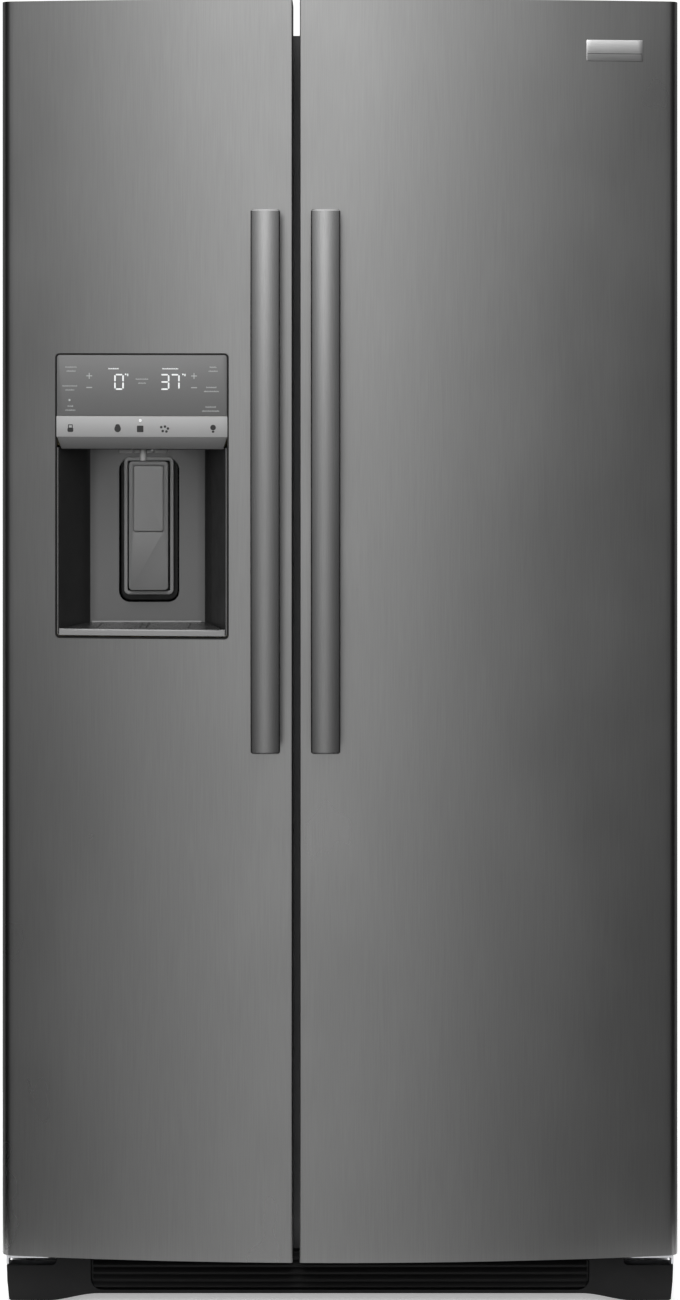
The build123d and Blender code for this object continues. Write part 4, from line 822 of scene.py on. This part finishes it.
# ---------------------------------------------------------------- paddle, spouts and tray
def frame_piece(name, low, high, width, radius, y, material, body):
    """A rounded rectangular frame in (x, z) between two Y stations."""
    obj = add_mesh(name, prism(rounded(low, high, radius), 1, *y), material, body, 35)
    inner = rounded((low[0] + width, low[1] + width), (high[0] - width, high[1] - width),
                    max(radius - width, 0.5 * MM))
    cut(obj, [cutter(prism(inner, 1, y[0] - 0.01, y[1] + 0.01))], 35)
    return bevel(obj, 0.5 * MM, 2, 50)


PAD_Z = (1050.5 * MM, 1140 * MM)
PAD_INSET = 7 * MM
PAD_GROOVE = 1.4 * MM
RIM_WIDTH = 4.6 * MM
RIM_TOP = 1152 * MM


def paddle():
    """Push paddle with a pale pad, inside a fixed rim."""
    front = PADDLE[0].y
    low_x, high_x = PADDLE[0].x, PADDLE[1].x
    low_z, high_z = PADDLE[0].z, PADDLE[1].z
    lever = add_mesh("paddle_lever", prism(rounded((low_x, low_z), (high_x, high_z + 3.5 * MM),
                                                   5 * MM), 1,
                                           front + 2.2 * MM, front + 6.5 * MM),
                     "paddle", "dispenser_paddle", 35)
    pad_x = (low_x + PAD_INSET, high_x - PAD_INSET)
    groove = cutter(prism(rounded((pad_x[0] - PAD_GROOVE, PAD_Z[0] - PAD_GROOVE),
                                  (pad_x[1] + PAD_GROOVE, PAD_Z[1] + PAD_GROOVE), 3 * MM), 1,
                          front - 1 * MM, front + 4 * MM))
    cut(lever, [groove], 35)
    bevel(lever, 0.6 * MM, 2, 50)
    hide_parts("dispenser_paddle")
    pad = add_mesh("paddle_pad", prism(rounded((pad_x[0], PAD_Z[0]), (pad_x[1], PAD_Z[1]), 2.5 * MM),
                                       1, front + 1.2 * MM, front + 5 * MM),
                   "pad", "dispenser_paddle", 35)
    bevel(pad, 0.8 * MM, 3, 50)
    frame_piece("paddle_rim", (low_x - 7 * MM, low_z - 6.5 * MM), (high_x + 7 * MM, RIM_TOP),
                RIM_WIDTH, 7 * MM, (BAY_BACK - 7 * MM, BAY_BACK + 2 * MM), "rim", "freezer_door")


SLATS = ((-24, 17), (0, 24), (24, 17))  # offset from the bay's middle and width, in mm
SLAT_Y = (-282 * MM, -276 * MM)
SLAT_Z = (1161 * MM, 1166 * MM)
LAMP_Y = (-268 * MM, -262 * MM)
LAMP_HALF = 60 * MM
NOZZLE_CUT = 8 * MM                     # the visible spout ends this far above the CAD body


def spouts():
    """Three slats of the ice outlet, the bay's lamp and the water nozzle in front of them."""
    for i, (dx, width) in enumerate(SLATS):
        block_piece(f"outlet_slat_{i}", (BAY_MID + dx * MM - width / 2 * MM, SLAT_Y[0], SLAT_Z[0]),
                    (BAY_MID + dx * MM + width / 2 * MM, SLAT_Y[1], SLAT_Z[1]), 0.8 * MM, "strip",
                    "freezer_door")
    lens = cuboid((BAY_MID - LAMP_HALF, LAMP_Y[0], LIP_Z[0] - 1.05 * MM),
                  (BAY_MID + LAMP_HALF, LAMP_Y[1], LIP_Z[0] - 0.5 * MM))
    add_mesh("bay_lamp", lens, "bay_lamp", "freezer_door")
    lo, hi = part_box("water_nozzle")
    x, y = (lo.x + hi.x) / 2, (lo.y + hi.y) / 2

    def build(bm):
        low = lo.z + NOZZLE_CUT
        profile = [(2.6, low), (3.6, low), (4.0, low + 1 * MM), (4.5, low + 5 * MM),
                   (4.5, hi.z), (2.6, hi.z)]
        count = 28
        rings = [[bm.verts.new((x + r * MM * cos(2 * pi * k / count),
                                y + r * MM * sin(2 * pi * k / count), z)) for k in range(count)]
                 for r, z in profile]
        for a, b in zip(rings, [*rings[1:], rings[0]]):
            for k in range(count):
                after = (k + 1) % count
                bm.faces.new((a[k], a[after], b[after], b[k]))
    spout = add_mesh("water_spout", build, "nozzle", "freezer_door", 40)
    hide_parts("water_nozzle")


TRAY_SLOT_ROWS = 5
TRAY_SLOT_Y = -282 * MM
TRAY_SLOT_PITCH = 12.5 * MM
TRAY_SLOT = (30 * MM, 3.2 * MM)         # half sizes
TRAY_SLOT_X = 33 * MM


def drip_tray():
    """Pull-out tray: bright front lip with turned up ends, a slatted grille cut into its deck and a
    rear rail.
    """
    top, low = TRAY[1].z, TRAY[0].z
    half = BAY_HALF_FRONT - 1.4 * MM
    plan = bay_plan(BAY_BACK - 1.2 * MM, half, BAY_HALF_BACK - 1.2 * MM, BAY_ROUND)
    deck = add_mesh("tray_deck", prism(plan, 2, low, top - 1 * MM), "tray", "drip_tray",
                    35)
    slots = []
    for row in range(TRAY_SLOT_ROWS):
        y = TRAY_SLOT_Y + row * TRAY_SLOT_PITCH
        for side in (-1, 1):
            x = BAY_MID + side * TRAY_SLOT_X
            slots.append(cutter(prism(rounded((x - TRAY_SLOT[0], y - TRAY_SLOT[1]),
                                              (x + TRAY_SLOT[0], y + TRAY_SLOT[1]), 3 * MM),
                                      2, top - 6 * MM, top + 1 * MM)))
    cut(deck, slots, 35)
    bevel(deck, 0.5 * MM, 2, 50)
    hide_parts("drip_tray")

    def lip_build(bm):
        columns = 24
        rows = []
        for i in range(columns + 1):
            x = BAY_MID - half + 2 * half * i / columns
            rise = 2.2 * MM if i in (0, columns) else 0
            y = bow_y(x, -0.3 * MM)
            rows.append([bm.verts.new(c) for c in (
                (x, y, low - 1.6 * MM), (x, y, top - 2 * MM + rise),
                (x, y + 2.5 * MM, top - 0.5 * MM + rise * 0.2), (x, y + 6 * MM, top - 0.9 * MM),
                (x, y + 6 * MM, low - 1.6 * MM))])
        for a, b in zip(rows, rows[1:]):
            for k in range(5):
                after = (k + 1) % 5
                bm.faces.new((a[k], b[k], b[after], a[after]))
        bm.faces.new(rows[0])
        bm.faces.new(list(reversed(rows[-1])))
    front_lip = add_mesh("tray_lip", lip_build, "tray_lip", "drip_tray", 35)
    rear_x = BAY_HALF_BACK - 8 * MM
    block_piece("tray_rear_rail", (BAY_MID - rear_x, BAY_BACK - 7 * MM, top - 1.5 * MM),
                (BAY_MID + rear_x, BAY_BACK - 4 * MM, top + 0.8 * MM), 0.7 * MM, "tray_lip",
                "drip_tray")
    return front_lip


paddle()
spouts()
drip_tray()


# ---------------------------------------------------------------- toe grille
LOUVRES = 5
LOUVRE_LOW = 23.5 * MM
LOUVRE_PITCH = 9.8 * MM
LOUVRE_HALF = 337 * MM
SOLE_FROM, SOLE_TO = 402 * MM, 330 * MM  # where the lower edge starts and ends its rise
SOLE_RISE = 10 * MM


def toe_grille():
    """Dark kick grille: solid ends that reach down, a raised middle and a louvred recess."""
    front, back = GRILLE[0].y, GRILLE[0].y + 20 * MM
    half = GRILLE[1].x
    low, high = GRILLE[0].z, GRILLE[1].z
    end_top = 52 * MM
    edge = [(half, end_top), (half - 0.8 * MM, 30 * MM), (half - 3.2 * MM, low + 3 * MM),
            (half - 6 * MM, low + 1.5 * MM), (SOLE_FROM, low + 1 * MM)]
    for i in range(1, 12):
        t = i / 12
        edge.append((SOLE_FROM + (SOLE_TO - SOLE_FROM) * t,
                     low + 1 * MM + SOLE_RISE * (3 * t * t - 2 * t ** 3)))
    edge.append((SOLE_TO, low + 1 * MM + SOLE_RISE))
    top = [(392 * MM, end_top), (388 * MM, end_top + 3 * MM), (386 * MM, high)]
    right = [*reversed(edge), *top]
    outline = right + [(-x, z) for x, z in reversed(right)]
    body = add_mesh("toe_grille_face", prism(outline, 1, front, back), "grille", "cabinet",
                    35)
    recess = rounded((-340 * MM, 18 * MM), (340 * MM, high + 30 * MM), 16 * MM)
    hollow = [(x * 0.985, z + 3 * MM if z < 30 * MM else z - 3 * MM) for x, z in outline]
    cut(body, [cutter(prism(recess, 1, front - 2 * MM, front + 7 * MM)),
               cutter(prism(hollow, 1, front + 10 * MM, back + 2 * MM))], 35)
    bevel(body, 1.6 * MM, 3, 50)
    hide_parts("toe_grille")
    for i in range(LOUVRES):
        z = LOUVRE_LOW + LOUVRE_PITCH * i
        section = [(front + 2.5 * MM, z - 3 * MM), (front + 1.2 * MM, z - 1.6 * MM),
                   (front + 2.0 * MM, z - 0.2 * MM), (front + 8 * MM, z + 4 * MM),
                   (front + 8 * MM, z + 1.5 * MM)]
        add_mesh(f"louvre_{i}", prism(section, 0, -LOUVRE_HALF, LOUVRE_HALF), "grille", "cabinet",
                 30)


toe_grille()


# ---------------------------------------------------------------- nameplate
def nameplate():
    """Blank bright plate standing a little proud of the door, with a fine dividing line."""
    lo, hi = PLATE
    outline = rounded((lo.x + 0.3 * MM, lo.z + 0.3 * MM), (hi.x - 0.3 * MM, hi.z - 0.3 * MM), 1.6 * MM)
    face = bowed_sheet("nameplate_face", outline, 1.1 * MM, 1.0 * MM, "plate", "fridge_door",
                       10)
    bevel(face, 0.3 * MM, 2, 50)
    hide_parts("nameplate")
    line_z = lo.z + (hi.z - lo.z) * 0.34
    bowed_sheet("nameplate_line", [(lo.x + 2 * MM, line_z), (hi.x - 2 * MM, line_z),
                                   (hi.x - 2 * MM, line_z + 0.7 * MM),
                                   (lo.x + 2 * MM, line_z + 0.7 * MM)],
                1.25 * MM, 0.3 * MM, "ink", "fridge_door", 6)


nameplate()

# ---------------------------------------------------------------- floor and light
FLOOR_X = 0.66
FLOOR_Y = (-0.41, 0.7)
FLOOR_GLOW = 0.36
SIDE_OFFSET = -0.05                     # where the front light is brightest, as x over depth
SIDE_WIDTH = 0.135                      # how far it takes to fade to half, the same way
RISE_LOW = 1.1                          # how it fades downwards
RISE_HIGH = 4.0                         # and grows upwards
RISE_MIN = 0.2
FRONT = 1.42
REAR = 0.2
OVERHEAD_FROM = 0.35
OVERHEAD = 3.2
BACKDROP = 1.1                          # what the camera sees behind the object


def floor():
    bm = bmesh.new()
    corners = ((-FLOOR_X, FLOOR_Y[0]), (FLOOR_X, FLOOR_Y[0]), (FLOOR_X, FLOOR_Y[1]),
               (-FLOOR_X, FLOOR_Y[1]))
    bm.faces.new([bm.verts.new((*corner, 0)) for corner in corners])
    mesh = bpy.data.meshes.new("floor")
    bm.to_mesh(mesh)
    bm.free()
    obj = bpy.data.objects.new("floor", mesh)
    bpy.context.scene.collection.objects.link(obj)
    s = Shader("floor", (0.90, 0.90, 0.90), 0.7, Emission_Color=(1, 1, 1, 1),
               Emission_Strength=FLOOR_GLOW)
    s.tint(s.noise(3), 0.01)
    mesh.materials.append(s.material)


def world_light():
    """White to the camera; to surfaces, a soft wall in front that fades sideways and downwards."""
    world = bpy.data.worlds.new("world")
    bpy.context.scene.world = world
    world.use_nodes = True
    nodes, links = world.node_tree.nodes, world.node_tree.links
    nodes.clear()

    def math(kind, a, b=None):
        node = nodes.new("ShaderNodeMath")
        node.operation = kind
        for socket, value in zip(node.inputs, (a, b)):
            if value is None:
                continue
            if isinstance(value, (int, float)):
                socket.default_value = value
            else:
                links.new(value, socket)
        return node.outputs[0]

    coords = nodes.new("ShaderNodeTexCoord").outputs["Generated"]
    split = nodes.new("ShaderNodeSeparateXYZ")
    links.new(coords, split.inputs[0])
    x, y, z = split.outputs
    facing = math("MAXIMUM", math("MULTIPLY", y, -1), 0.05)
    side = math("DIVIDE", math("SUBTRACT", x, SIDE_OFFSET), math("ADD", facing, 0.02))
    side = math("DIVIDE", side, SIDE_WIDTH)
    fall = math("DIVIDE", 1, math("ADD", math("MULTIPLY", side, side), 1))
    rise = math("MAXIMUM", math("ADD", math("MULTIPLY", z, RISE_LOW), 1), RISE_MIN)
    rise = math("ADD", rise, math("MULTIPLY", math("MAXIMUM", z, 0), RISE_HIGH))
    front = math("GREATER_THAN", math("MULTIPLY", y, -1), 0)
    level = math("MULTIPLY", math("MULTIPLY", fall, FRONT), rise)
    level = math("ADD", math("MULTIPLY", level, front),
                 math("MULTIPLY", math("SUBTRACT", 1, front), REAR))
    overhead = math("MAXIMUM", math("SUBTRACT", z, OVERHEAD_FROM), 0)
    level = math("ADD", level, math("MULTIPLY", overhead, OVERHEAD))
    glow = nodes.new("ShaderNodeBackground")
    links.new(level, glow.inputs["Strength"])
    white = nodes.new("ShaderNodeBackground")
    white.inputs["Color"].default_value = (1, 1, 1, 1)
    white.inputs["Strength"].default_value = BACKDROP
    path = nodes.new("ShaderNodeLightPath")
    mix = nodes.new("ShaderNodeMixShader")
    links.new(path.outputs["Is Camera Ray"], mix.inputs[0])
    links.new(glow.outputs[0], mix.inputs[1])
    links.new(white.outputs[0], mix.inputs[2])
    out = nodes.new("ShaderNodeOutputWorld")
    links.new(mix.outputs[0], out.inputs["Surface"])


floor()
world_light()
bpy.context.scene.view_settings.view_transform = "Standard"
